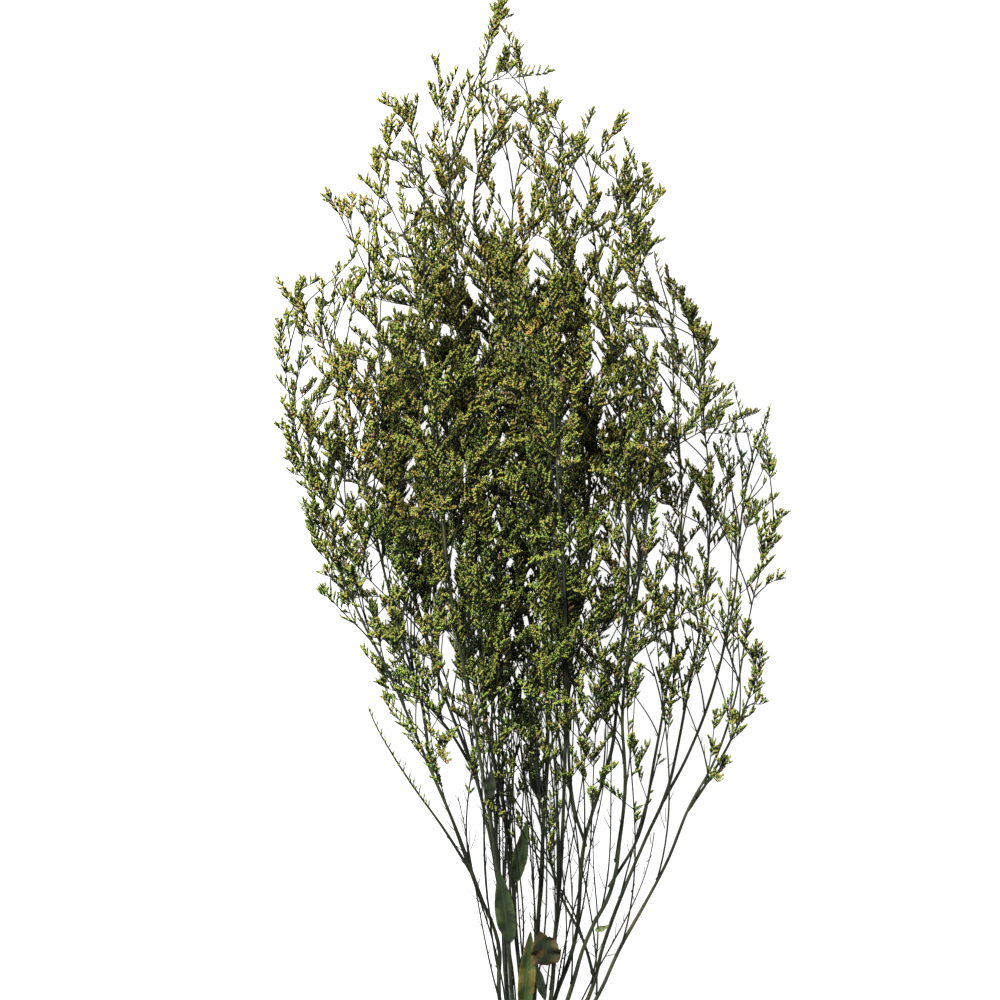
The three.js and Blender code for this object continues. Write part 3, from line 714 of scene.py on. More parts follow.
@dataclass
class Bunch:
    """The whole plant, grown stem by stem by the same rule as its solids."""

    top_length: float = 78.0
    top_overlap: float = 4.0
    branch_angle: float = 0.56
    branch_step: float = 48.0
    branch_longest: float = 100.0
    branch_shortest: float = 58.0
    branch_spread: float = 0.3
    branches_to: float = 0.92
    twig_step: float = 25.0
    twig_longest: float = 56.0
    twig_shortest: float = 40.0
    twig_angle: float = 0.7
    twigs_from: float = 0.34
    twigs_to: float = 0.86
    side_bend: float = 0.3
    flowers_from: float = 235.0
    own_crowding: float = 0.85
    tries: int = 7
    axes: list[Axis] = field(default_factory=list)

    STEM_SPANS = 30
    TOP_SPANS = 4
    TRY_SHRINK = 0.06
    REACH_WEIGHT = 1 / 260
    TIP_PULL = 0.4
    TIP_SPREAD = 46.0
    LEAST_TIP_DEPTH = 20.0
    ROOTS_BETWEEN = (0.25, 0.93)
    ROOT_STEPS = 34
    OUTER_BEND = (0.22, 0.2)

    def is_clear(self, axis: Axis, parent: Axis) -> bool:
        """Say whether an axis stays clear of all but its parent, its own root apart.

        Args:
            axis: The axis to place.
            parent: The axis that it springs from.

        Returns:
            Whether there is room for it.
        """
        from_root = np.linalg.norm(axis.taken - axis.points[0], axis=1)
        free = from_root > Axis.RULE.bare_root
        low = axis.low - 2 * Axis.RULE.flower_room
        high = axis.high + 2 * Axis.RULE.flower_room
        for other in self.axes:
            if other is parent or (other.low > high).any() or (other.high < low).any():
                continue
            own = other.stem == axis.stem
            mine = free if own else slice(None)
            points, rooms = axis.taken[mine], axis.rooms[mine]
            gaps = np.linalg.norm(points[:, None] - other.taken[None], axis=2)
            crowding = self.own_crowding if own else 1.0
            if (gaps <= crowding * (rooms[:, None] + other.rooms[None])).any():
                return False
        return True

    def place(self, axis: Axis) -> Axis:
        """Add an axis to the plant."""
        self.axes.append(axis)
        return axis

    def stem_curve(self, plan: StemPlan) -> SmoothCurve:
        """Lay a main stem from its cut end through the tie to its own way.

        Args:
            plan: The stem's plan.

        Returns:
            Its curve, its flowering top included.
        """
        slot = TIE.slot(plan.column, plan.row)
        first_x, first_y = plan.way[0]

        def fanned(y: float) -> float:
            """Give the distance across at a distance from the tie."""
            return mix(slot[0], first_x, (y / first_y) ** TIE.fan_power)

        def height(y: float) -> float:
            """Give the height above the surface at a distance past the tie."""
            return mix(slot[2], plan.lift, smooth(y / TIE.rise_length))

        spacing = TIE.fan_spacing
        return SmoothCurve([
            (fanned(TIE.cut_below) * TIE.cut_end_spread, -TIE.cut_below, slot[2]),
            (fanned(spacing), -spacing, slot[2]),
            (slot[0], -TIE.straight, slot[2]),
            tuple(slot),
            (slot[0], TIE.straight, slot[2]),
            (fanned(spacing), spacing, height(spacing)),
            (fanned(2 * spacing), 2 * spacing, height(2 * spacing)),
            *((x, y, height(y)) for x, y in plan.way),
        ])

    def fork_curve(self, main: Axis, fork: ForkPlan) -> SmoothCurve:
        """Lay a long side limb from its stem along its own way.

        Args:
            main: The stem.
            fork: The limb's plan.

        Returns:
            Its curve.
        """
        root = main.centre_at(main.curve.share_at_y(fork.start))
        last_y = fork.way[-1][1]
        rises = (smooth((y - root[1]) / (last_y - root[1])) for _, y in fork.way)
        points = [(x, y, mix(root[2], fork.lift, rise)) for (x, y), rise in zip(fork.way, rises)]
        return SmoothCurve([tuple(root), *points])

    def grow_limbs(self, plan: StemPlan, stem: int) -> list[Axis]:
        """Place a stem, its forks and its flowering top.

        Args:
            plan: The stem's plan.
            stem: Its number.

        Returns:
            The limbs, the main stem first.
        """
        whole = self.stem_curve(plan)
        top_from = 1 - self.top_length / whole.length
        curve = whole.stretch(0.0, top_from, self.STEM_SPANS)
        rings = [curve.share_at_y(y) for y in (-TIE.straight, TIE.straight)]
        main = self.place(Axis(stem, AxisKind.STEM, curve, UP, extra_shares=rings))
        forks = []
        for fork in plan.forks:
            way = main.way_at(curve.share_at_y(fork.start))
            forks.append(self.place(Axis(
                stem, AxisKind.FORK, self.fork_curve(main, fork), way, fork.habit,
                2 * len(fork.way),
            )))
        overlap = self.top_overlap / whole.length
        curve = whole.stretch(top_from - overlap, 1.0, self.TOP_SPANS)
        top = self.place(Axis(stem, AxisKind.TOP, curve, UP))
        return [main, *forks, top]

    def root_for(self, limbs: Sequence[Axis], tip: Array) -> tuple[Axis, float, Array]:
        """Find where a branch to a tip leaves the limbs at nearest the usual angle.

        Args:
            limbs: The stem's limbs.
            tip: End of the branch.

        Returns:
            The parent, the share of its length and the root.
        """
        best = (math.inf, limbs[0], 0.0, tip)
        for parent in limbs:
            for step in range(self.ROOT_STEPS + 1):
                share = mix(*self.ROOTS_BETWEEN, step / self.ROOT_STEPS)
                root = parent.centre_at(share)
                reach = tip - root
                distance = float(np.linalg.norm(reach))
                slant = float(np.clip(np.dot(reach, parent.way_at(share)) / distance, -1, 1))
                misfit = abs(math.acos(slant) - self.branch_angle) + distance * self.REACH_WEIGHT
                if misfit < best[0]:
                    best = (misfit, parent, share, root)
        return best[1:]

    def grow_outer(self, limbs: Sequence[Axis], plan: StemPlan, stem: int) -> list[Axis]:
        """Place the outer branches of a stem, one for each tip on the outline.

        Args:
            limbs: The stem's limbs.
            plan: The stem's plan.
            stem: Its number.

        Returns:
            The branches that found room.
        """
        draws = Draws(Purpose.OUTER, stem)
        placed = []
        for x, y in plan.tips:
            depth = max(HEAD.top_over(x, y) - HEAD.middle_height, self.LEAST_TIP_DEPTH)
            middle = mix(plan.lift, HEAD.middle_height, self.TIP_PULL)
            height = middle + (draws.next() - 0.5) * self.TIP_SPREAD
            tip = np.array([x, y, min(height, HEAD.middle_height + depth)])
            parent, share, root = self.root_for(limbs, tip)
            way = parent.way_at(share)
            curve = BentCurve.between(root, way, tip, draws.above(self.OUTER_BEND))
            axis = Axis(stem, AxisKind.BRANCH, curve, way, parent.habit)
            if self.is_clear(axis, parent):
                placed.append(self.place(axis))
        return placed

    def search(
        self, parent: Axis, share: float, kind: AxisKind, length: float, angle: float,
        turn: float,
    ) -> Axis | None:
        """Turn a side axis about its parent until it lies in the head and keeps clear.

        Args:
            parent: The axis that it springs from.
            share: Share of the parent's length at the root.
            kind: Its rank.
            length: Its length on the first try.
            angle: Angle to the parent.
            turn: First turn about the parent.

        Returns:
            The placed axis, or None where there is no room.
        """
        root = parent.centre_at(share)
        way = parent.way_at(share)
        upper = parent.upper_at(share)
        side = np.cross(way, upper)
        for attempt in range(self.tries):
            outward = turned(upper, side, turn + attempt * GOLDEN_ANGLE)
            reach = length * (1 - self.TRY_SHRINK * attempt)
            tip = HEAD.lifted(root + turned(way, outward, angle) * reach)
            if tip[2] > HEAD.top_over(tip[0], tip[1]):
                continue
            curve = BentCurve.between(root, way, tip, self.side_bend)
            axis = Axis(parent.stem, kind, curve, way, parent.habit)
            if self.is_clear(axis, parent):
                return self.place(axis)
        return None

    def grow_inner(self, limbs: Sequence[Axis], stem: int) -> list[Axis]:
        """Place the inner branches of a stem, spiralling up each of its limbs.

        Args:
            limbs: The stem's limbs.
            stem: Its number.

        Returns:
            The branches that found room.
        """
        draws = Draws(Purpose.INNER, stem)
        placed = []
        for limb in limbs:
            turn = draws.next() * 2 * math.pi
            along = limb.curve.share_at_y(self.flowers_from) * limb.length + self.branch_step / 2
            while along < self.branches_to * limb.length:
                share = along / limb.length
                spread = 1 + self.branch_spread * (draws.next() - 0.5)
                length = mix(self.branch_longest, self.branch_shortest, share) * spread
                angle = self.branch_angle
                placed.append(self.search(limb, share, AxisKind.BRANCH, length, angle, turn))
                turn += GOLDEN_ANGLE
                along += self.branch_step
        return [axis for axis in placed if axis is not None]

    def grow_twigs(self, limbs: Sequence[Axis], branches: Sequence[Axis], stem: int) -> None:
        """Place the twigs of a stem, spiralling up its limbs and branches.

        Args:
            limbs: The stem's limbs.
            branches: Its branches.
            stem: Its number.
        """
        draws = Draws(Purpose.TWIGS, stem)
        count = 0
        for parent in [*limbs, *branches]:
            turn = draws.next() * 2 * math.pi
            on_limb = any(parent is limb for limb in limbs)
            if on_limb:
                reached = parent.curve.share_at_y(self.flowers_from)
                along = reached * parent.length + self.twig_step / 3
            else:
                along = self.twigs_from * parent.length
            while along < self.twigs_to * parent.length:
                share = along / parent.length
                length = mix(self.twig_longest, self.twig_shortest, draws.next())
                angle = self.twig_angle
                twig = self.search(parent, share, AxisKind.TWIG, length, angle, turn)
                if twig is not None:
                    count += 1
                    among_florets = parent.ring_after(share) > parent.flowers_from
                    twig.is_fine = among_florets or count % 2 == 1
                turn += GOLDEN_ANGLE
                along += self.branch_step if on_limb else self.twig_step

    def grow(self) -> list[Axis]:
        """Grow stems and forks, then outer branches, inner branches and twigs.

        Returns:
            Every axis of the plant.
        """
        limbs = [self.grow_limbs(plan, stem) for stem, plan in enumerate(STEMS)]
        outer = [self.grow_outer(limbs[stem], plan, stem) for stem, plan in enumerate(STEMS)]
        inner = [self.grow_inner(limbs[stem], stem) for stem in range(len(STEMS))]
        for stem in range(len(STEMS)):
            self.grow_twigs(limbs[stem], [*outer[stem], *inner[stem]], stem)
        return self.axes


# Meshes and nodes


class MeshStock:
    """Vertices, triangles and their marks, collected for one piece."""

    def __init__(self, marks: Sequence[str] = ()) -> None:
        """Start an empty stock.

        Args:
            marks: Names of the marks that each of its vertices has.
        """
        self.names = tuple(marks)
        self.vertices: list[Array] = []
        self.triangles: list[Array] = []
        self.finishes: list[Array] = []
        self.marks: dict[str, list[Array]] = {name: [] for name in self.names}
        self.count = 0

    def add(
        self, vertices: Array, triangles: Array, finish: int = 0, **marks: Array | float
    ) -> None:
        """Add a patch.

        Args:
            vertices: Its points in millimetres, one row each.
            triangles: Its triangles, as rows of three places in its points.
            finish: Which of the piece's finishes it takes.
            **marks: One value, or one for each point, for every mark.
        """
        self.vertices.append(vertices)
        self.triangles.append(triangles + self.count)
        self.finishes.append(np.full(len(triangles), finish))
        for name in self.names:
            values = np.broadcast_to(np.asarray(marks[name], float), (len(vertices),))
            self.marks[name].append(values)
        self.count += len(vertices)

    def piece(
        self, name: str, middle: Array, materials: Sequence[bpy.types.Material],
        faceted: bool = False,
    ) -> bpy.types.Object:
        """Make the piece as a Blender object.

        Args:
            name: Its name.
            middle: The tie's middle in the frame, in metres.
            materials: Its materials, in the order of its finishes.
            faceted: Whether its faces keep their creases.

        Returns:
            The object.
        """
        vertices = np.vstack(self.vertices) * METRES
        vertices[:, 2] = np.maximum(vertices[:, 2], 0.0)
        triangles = np.vstack(self.triangles)
        mesh = bpy.data.meshes.new(name)
        mesh.vertices.add(len(vertices))
        mesh.vertices.foreach_set("co", (vertices + middle).ravel())
        mesh.loops.add(triangles.size)
        mesh.loops.foreach_set("vertex_index", triangles.ravel().astype(np.int32))
        mesh.polygons.add(len(triangles))
        starts = np.arange(0, triangles.size, 3, dtype=np.int32)
        mesh.polygons.foreach_set("loop_start", starts)
        mesh.polygons.foreach_set("material_index", np.concatenate(self.finishes).astype(np.int32))
        for mark, values in self.marks.items():
            layer = mesh.attributes.new(mark, "FLOAT", "POINT")
            layer.data.foreach_set("value", np.concatenate(values).astype(np.float32))
        mesh.update(calc_edges=True)
        mesh.validate()
        if not faceted:
            mesh.shade_smooth()
        for material in materials:
            mesh.materials.append(material)
        piece = bpy.data.objects.new(name, mesh)
        bpy.context.scene.collection.objects.link(piece)
        return piece


def ring_triangles(rings: int, sides: int, closed: bool = False) -> Array:
    """List the triangles of a skin over rings of equal sides.

    Args:
        rings: Number of rings.
        sides: Number of points in each.
        closed: Whether the last ring joins the first.

    Returns:
        Rows of three places.
    """
    ring, side = np.meshgrid(np.arange(rings if closed else rings - 1), np.arange(sides))
    ring, side = ring.ravel(), side.ravel()
    onward, after = (ring + 1) % rings, (side + 1) % sides
    near, near_after = ring * sides + side, ring * sides + after
    far, far_after = onward * sides + side, onward * sides + after
    first = np.column_stack([near, near_after, far_after])
    second = np.column_stack([near, far_after, far])
    return np.vstack([first, second])


def fan_triangles(ring: Array, tip: int, outward: bool) -> Array:
    """List the triangles from a ring of places to one place.

    Args:
        ring: The ring's places.
        tip: The one place.
        outward: Whether they face as the ring turns.

    Returns:
        Rows of three places.
    """
    after = np.roll(ring, -1)
    tips = np.full(len(ring), tip)
    return np.column_stack([ring, after, tips] if outward else [after, ring, tips])


def repeated(triangles: Array, count: int, points: int) -> Array:
    """Repeat the triangles of a shape for copies of it that follow each other.

    Args:
        triangles: The triangles of one.
        count: Number of copies.
        points: Number of points in each.

    Returns:
        Rows of three places.
    """
    shifts = (np.arange(count) * points)[:, None, None]
    return (triangles[None] + shifts).reshape(-1, 3)


def tube(points: Array, ways: Array, uppers: Array, radii: Array, sides: int) -> Array:
    """Place the rings of a round tube.

    Args:
        points: Middles of the rings.
        ways: Directions there.
        uppers: Upper sides there.
        radii: Radii of the rings.
        sides: Number of points in each.

    Returns:
        The rings' points, one row each.
    """
    turns = 2 * math.pi * np.arange(sides) / sides
    beside = np.cross(ways, uppers)
    rims = (
        uppers[:, None] * np.cos(turns)[None, :, None]
        + beside[:, None] * np.sin(turns)[None, :, None]
    )
    return (points[:, None] + rims * radii[:, None, None]).reshape(-1, 3)


def add_node(
    tree: bpy.types.NodeTree,
    kind: str,
    settings: Mapping[str | int, object] | None = None,
    links: Mapping[str | int, bpy.types.NodeSocket] | None = None,
    stops: Sequence[tuple[float, str]] = (),
    output: str | int = 0,
) -> bpy.types.NodeSocket | None:
    """Add a node with its settings and links.

    Args:
        tree: The node tree.
        kind: Type of the node, without the word ShaderNode before it.
        settings: Values of its properties by name, and of its inputs by name or place.
        links: Output sockets that feed its inputs, by name or place.
        stops: Places and sRGB hex colours of a colour ramp.
        output: Which of its outputs to give, by name or place.

    Returns:
        That output, or None from a node that ends its tree.
    """
    node = tree.nodes.new(f"ShaderNode{kind}")
    for name, value in (settings or {}).items():
        if isinstance(name, str) and name not in node.inputs:
            setattr(node, name, value)
        else:
            node.inputs[name].default_value = value
    for place, (position, colour) in enumerate(stops):
        elements = node.color_ramp.elements
        stop = elements[place] if place < 2 else elements.new(position)
        stop.position = position
        stop.color = linear(colour)
    for name, socket in (links or {}).items():
        tree.links.new(socket, node.inputs[name])
    return node.outputs[output] if node.outputs else None


def new_material(name: str) -> tuple[bpy.types.Material, Callable[..., bpy.types.NodeSocket]]:
    """Start an empty node material.

    Args:
        name: Its name.

    Returns:
        The material, and what adds a node to it.
    """
    material = bpy.data.materials.new(name)
    material.use_nodes = True
    material.node_tree.nodes.clear()
    return material, partial(add_node, material.node_tree)


# The finishes


TINT = {"data_type": "RGBA", "blend_type": "MULTIPLY"}
BLEND = {"data_type": "RGBA"}
# Places of the inputs and of the output that a Mix node has for colours.
FACTOR, FIRST, SECOND, MIXED = 0, 6, 7, 2
Stops = tuple[tuple[float, str], ...]


def scale_for(size_mm: float) -> float:
    """Give the scale of a pattern whose marks are this many millimetres apart."""
    return 1 / (size_mm * METRES)


@dataclass(frozen=True)
class DriedStem:
    """Dried green stem: a fibrous rind, dull, with fine ridges that run along it."""

    rind: Stops = ((0.32, "#1f2518"), (0.68, "#4f4d2e"), (0.5, "#333d27"))
    # Painted shade: the tint that darkens the rind deep inside the head.
    deep: str = "#4a5236"
    young: str = "#98a188"
    roughness: float = 0.62
    gloss: float = 0.3
    ior: float = 1.45
    streak_mm: float = 1.2
    streak_stretch: float = 0.08
    streak_strength: float = 0.45
    ridge_strength: float = 0.35
    ridge_height: float = 0.0003
    patch_mm: float = 26.0
    dimming: float = 0.9

    def material(self) -> bpy.types.Material:
        """Make the material.

        Returns:
            The material, streaked along the bunch, darkened by painted shade inside it, and darker
            on thin axes.
        """
        material, node = new_material("dried stem rind")
        place = node("TexCoord", output="Object")
        # Ridges of the rind run along the bunch, a little over a millimetre apart.
        along = node("Mapping", {"Scale": (1.0, self.streak_stretch, 1.0)}, {"Vector": place})
        scale = scale_for(self.streak_mm)
        streaks = node("TexNoise", {"Scale": scale, "Detail": 2.0}, {"Vector": along})
        scale = scale_for(self.patch_mm)
        patches = node("TexNoise", {"Scale": scale, "Detail": 2.0}, {"Vector": place})
        base = node("ValToRGB", links={"Fac": patches}, stops=self.rind)
        streaked = {**TINT, FACTOR: self.streak_strength}
        ridged = node("Mix", streaked, {FIRST: base, SECOND: streaks}, output=MIXED)
        # Painted shade: the rind deep inside the head is darkened by how much spray lies between it
        # and the open.
        deep = node("Attribute", {"attribute_name": "shade"}, output="Fac")
        dim = node("MapRange", {"To Max": self.dimming}, {"Value": deep})
        dark = {**TINT, SECOND: linear(self.deep)}
        dimmed = node("Mix", dark, {FACTOR: dim, FIRST: ridged}, output=MIXED)
        # The thin side axes are tinted darker than the stems.
        young = node("Attribute", {"attribute_name": "young"}, output="Fac")
        dry = {**TINT, SECOND: linear(self.young)}
        tinted = node("Mix", dry, {FACTOR: young, FIRST: dimmed}, output=MIXED)
        ridges = {"Strength": self.ridge_strength, "Distance": self.ridge_height}
        bump = node("Bump", ridges, {"Height": streaks})
        skin = node(
            "BsdfPrincipled",
            {"Roughness": self.roughness, "IOR": self.ior, "Specular IOR Level": self.gloss},
            {"Base Color": tinted, "Normal": bump},
        )
        node("OutputMaterial", links={"Surface": skin})
        return material


@dataclass(frozen=True)
class PaperyFloret:
    """Dried floret: painted shade on its root, where the florets overlap, then green bracts and a
    papery yellow to orange calyx at the tip.
    """

    # The near-black first stop of each ramp is painted shade on the floret's root, where the
    # florets overlap; the green, yellow and orange stops are the floret's own colour.
    warm: Stops = ((0.43, "#121d0d"), (1.0, "#c0733f"), (0.64, "#466527"), (0.87, "#a4af4d"))
    green: Stops = ((0.45, "#121d0d"), (1.0, "#8ca64c"), (0.7, "#466527"))
    spent: str = "#876753"
    # Painted shade: the tint that darkens the florets deep inside the head.
    shaded: str = "#5c6646"
    dimming: float = 0.75
    roughness: float = 0.85
    gloss: float = 0.2
    ior: float = 1.4

    def material(self) -> bpy.types.Material:
        """Make the material.

        Returns:
            The material, coloured along each floret and from floret to floret, and darkened by
            painted shade deep in the head.
        """
        material, node = new_material("papery floret")
        along, tone, spent, shade = (
            node("Attribute", {"attribute_name": mark}, output="Fac")
            for mark in ("along", "tone", "spent", "shade")
        )
        # Each ramp runs from painted shade at the floret's root through the green bracts to the
        # calyx.
        green, warm = (
            node("ValToRGB", links={"Fac": along}, stops=stops)
            for stops in (self.green, self.warm)
        )
        living = node("Mix", BLEND, {FACTOR: tone, FIRST: green, SECOND: warm}, output=MIXED)
        brown = {**BLEND, SECOND: linear(self.spent)}
        faded = node("Mix", brown, {FACTOR: spent, FIRST: living}, output=MIXED)
        # Painted shade: deep inside the head the florets are darkened by how much spray lies
        # between them and the open.
        dim = node("MapRange", {"To Max": self.dimming}, {"Value": shade})
        dark = {**TINT, SECOND: linear(self.shaded)}
        dimmed = node("Mix", dark, {FACTOR: dim, FIRST: faded}, output=MIXED)
        # Papery and full of air, it has hardly any gloss.
        skin = node(
            "BsdfPrincipled",
            {"Roughness": self.roughness, "IOR": self.ior, "Specular IOR Level": self.gloss},
            {"Base Color": dimmed},
        )
        node("OutputMaterial", links={"Surface": skin})
        return material


@dataclass(frozen=True)
class StemPith:
    """Cut end of a stem: pale dry pith inside the green rind, matt and fibrous."""

    fibres: Stops = ((0.1, "#b9ad7c"), (0.7, "#83774b"))
    roughness: float = 0.85
    fibre_mm: float = 0.5

    def material(self) -> bpy.types.Material:
        """Make the material.

        Returns:
            The material, speckled as a cut bundle of fibres is.
        """
        material, node = new_material("cut pith")
        place = node("TexCoord", output="Object")
        cells = node("TexVoronoi", {"Scale": scale_for(self.fibre_mm)}, {"Vector": place})
        colour = node("ValToRGB", links={"Fac": cells}, stops=self.fibres)
        skin = node("BsdfPrincipled", {"Roughness": self.roughness}, {"Base Color": colour})
        node("OutputMaterial", links={"Surface": skin})
        return material


@dataclass(frozen=True)
class WitheredLeaf:
    """Withered leaf: a dry blade with raised veins, blotched where it has browned."""

    tone: LeafTone
    roughness: float = 0.7
    ior: float = 1.4
    blotch_mm: float = 7.0
    blotch_detail: float = 5.0
    browned: tuple[float, float] = (0.56, 0.76)
    side_veins: Stops = ((0.8, "#000000"), (1.0, "#ffffff"))
    rib: Stops = ((0.04, "#ffffff"), (0.12, "#000000"))
    brown_edge: float = 0.22
    vein_spacing: float = 0.055
    vein_slant: float = -0.16
    vein_strength: float = 0.45
    bump_strength: float = 0.5
    vein_height: float = 0.0004

    def material(self) -> bpy.types.Material:
        """Make the material.

        Returns:
            The material, with its veins slanting from the rib.
        """
        blade, patch, vein = self.tone.value
        material, node = new_material(f"withered leaf {self.tone.name.lower()}")
        place = node("TexCoord", output="Object")
        along, beside = (
            node("Attribute", {"attribute_name": mark}, output="Fac")
            for mark in ("along", "beside")
        )
        grain = {"Scale": scale_for(self.blotch_mm), "Detail": self.blotch_detail}
        blotches = node("TexNoise", grain, {"Vector": place})
        # A leaf browns from its edges.
        browning = {"operation": "MULTIPLY_ADD", 1: self.brown_edge}
        dried = node("Math", browning, {0: beside, 2: blotches})
        stops = tuple(zip(self.browned, (blade, patch)))
        body = node("ValToRGB", links={"Fac": dried}, stops=stops)
        # Side veins leave the rib forwards: their phase falls with the distance from it.
        slant = {"operation": "MULTIPLY_ADD", 1: self.vein_slant}
        phase = node("Math", slant, {0: beside, 2: along})
        pace = {"operation": "MULTIPLY", 1: 2 * math.pi / self.vein_spacing}
        swing = node("Math", {"operation": "SINE"}, {0: node("Math", pace, {0: phase})})
        veins = node("ValToRGB", links={"Fac": swing}, stops=self.side_veins)
        rib = node("ValToRGB", links={"Fac": beside}, stops=self.rib)
        lines = node("Math", {"operation": "MAXIMUM"}, {0: veins, 1: rib})
        faint = node("Math", {"operation": "MULTIPLY", 1: self.vein_strength}, {0: lines})
        pale = {**BLEND, SECOND: linear(vein)}
        colour = node("Mix", pale, {FACTOR: faint, FIRST: body}, output=MIXED)
        ridges = {"Strength": self.bump_strength, "Distance": self.vein_height}
        bump = node("Bump", ridges, {"Height": lines})
        skin = node(
            "BsdfPrincipled", {"Roughness": self.roughness, "IOR": self.ior},
            {"Base Color": colour, "Normal": bump},
        )
        node("OutputMaterial", links={"Surface": skin})
        return material


@dataclass(frozen=True)
class NaturalRubber:
    """Natural rubber band: smooth extruded rubber with a faint waxy bloom."""

    bloom: Stops = ((0.35, "#c8a274"), (0.7, "#d8bd96"))
    roughness: float = 0.48
    ior: float = 1.52
    bloom_mm: float = 3.0

    def material(self) -> bpy.types.Material:
        """Make the material.

        Returns:
            The material, slightly paler where the wax has bloomed.
        """
        material, node = new_material("natural rubber")
        place = node("TexCoord", output="Object")
        scale = scale_for(self.bloom_mm)
        wax = node("TexNoise", {"Scale": scale, "Detail": 3.0}, {"Vector": place})
        colour = node("ValToRGB", links={"Fac": wax}, stops=self.bloom)
        gloss = {"Roughness": self.roughness, "IOR": self.ior}
        skin = node("BsdfPrincipled", gloss, {"Base Color": colour})
        node("OutputMaterial", links={"Surface": skin})
        return material


@dataclass(frozen=True)
class LitAcrylic:
    """Studio floor: a white acrylic sheet, matt, lit evenly from below."""

    sheet: str = "#a0a0a0"
    light: str = "#ffffff"
    roughness: float = 0.9
    glow: float = 0.92

    def material(self) -> bpy.types.Material:
        """Make the material.

        Returns:
            The material, which keeps the shadows on it pale.
        """
        material, node = new_material("lit white acrylic")
        skin = node("BsdfPrincipled", {
            "Base Color": linear(self.sheet),
            "Roughness": self.roughness,
            "Emission Color": linear(self.light),
            "Emission Strength": self.glow,
        })
        node("OutputMaterial", links={"Surface": skin})
        return material


# The pieces


@dataclass(frozen=True)
class AxisLook:
    """How an axis of one rank is drawn, and where and how closely its spikes sit."""

    root: float
    tip: float
    sides: int
    ring_step: float
    spikes_from: float
    spike_step: float
    spike_longest: float
    spike_shortest: float


LOOKS = {
    AxisKind.STEM: AxisLook(3.2, 1.1, 9, 7.0, 0.0, 14.0, 10.0, 8.0),
    AxisKind.FORK: AxisLook(2.0, 0.85, 7, 6.0, 0.4, 1.9, 7.6, 3.8),
    AxisKind.TOP: AxisLook(1.2, 0.7, 6, 5.0, 0.15, 1.8, 7.6, 3.8),
    AxisKind.BRANCH: AxisLook(1.1, 0.65, 5, 6.0, 0.34, 1.8, 7.6, 3.8),
    AxisKind.TWIG: AxisLook(0.9, 0.55, 5, 6.0, 0.28, 1.8, 7.4, 3.6),
    AxisKind.SHOOT: AxisLook(1.25, 0.6, 5, 9.0, 0.3, 1.9, 7.4, 3.6),
}


@dataclass(frozen=True)
class Fullness:
    """How many layers of sprays lie over each other, seen from above.

    The rows give, for a distance along the bunch, the middle of the full part, half its width,
    the layers there and the layers in the airy parts beside it.
    """

    rows: tuple[tuple[float, float, float, float, float], ...] = (
        (130, -14, 50, 0.0, 0.0), (160, -8, 46, 0.2, 0.1), (190, -4, 46, 0.6, 0.2),
        (220, -4, 44, 1.5, 0.3), (250, -4, 48, 2.7, 0.4), (282, 0, 60, 3.6, 0.6),
        (312, -6, 64, 4.2, 0.7), (342, -14, 66, 4.6, 0.6), (372, -26, 76, 5.1, 0.6),
        (402, -16, 86, 5.1, 0.6), (432, -14, 82, 5.1, 0.7), (462, -18, 68, 5.0, 0.7),
        (492, -15, 54, 4.4, 0.8), (522, -6, 60, 3.4, 0.6), (552, 0, 74, 1.6, 0.4),
        (582, -14, 84, 1.0, 0.4), (612, -40, 44, 1.2, 0.3), (632, -32, 28, 0.9, 0.1),
        (650, -16, 11, 1.0, 0.0), (700, -14, 10, 1.0, 0.0),
    )
    edge_fall: float = 0.7

    def at(self, points: Array) -> Array:
        """Give the layers of sprays wanted at points.

        Args:
            points: Points, one row each.

        Returns:
            A number of layers for each.
        """
        points = np.atleast_2d(points)
        heights, *columns = np.array(self.rows).T
        middle, half, full, airy = (np.interp(points[:, 1], heights, row) for row in columns)
        core = np.exp(-self.edge_fall * np.abs((points[:, 0] - middle) / half) ** 3)
        return mix(airy, full, core)


class RodLook(NamedTuple):
    """Diameters of a rod at its root and tip, and the rings and sides that it is drawn with."""

    root: float
    tip: float
    rings: int
    sides: int = 3


def bent(
    root: Array, heading: Array, way: Array, length: Array | float, bend: Array | float,
    place: Array | float,
) -> Spot:
    """Find a point on a rod that leaves its root one way and bends towards another.

    Args:
        root: Its root, or rows of them, as all that follows.
        heading: Its direction there.
        way: Direction that it bends towards and that its upper side faces.
        length: Its length.
        bend: Share by which it bends.
        place: Place along it, from 0 to 1.

    Returns:
        The point, the direction and the upper side there.
    """
    turning = bend * (way - heading)
    point = root + length * (place * heading + place**2 * turning)
    tangent = unit(heading + 2 * place * turning)
    return point, tangent, across(tangent, way)


class Rod(NamedTuple):
    """A short bent rod: a twiglet, or a spike that florets sit on.

    The group is the number of its twiglet, or says how it stands alone. The rank is the share of
    its parent's length at its root. Sparse is 1 where its florets are few and small.
    """

    group: int
    rank: float
    root: Array
    heading: Array
    way: Array
    length: float
    bend: float
    warmth: float = 0.5
    spent: float = 0.0
    sparse: float = 0.0


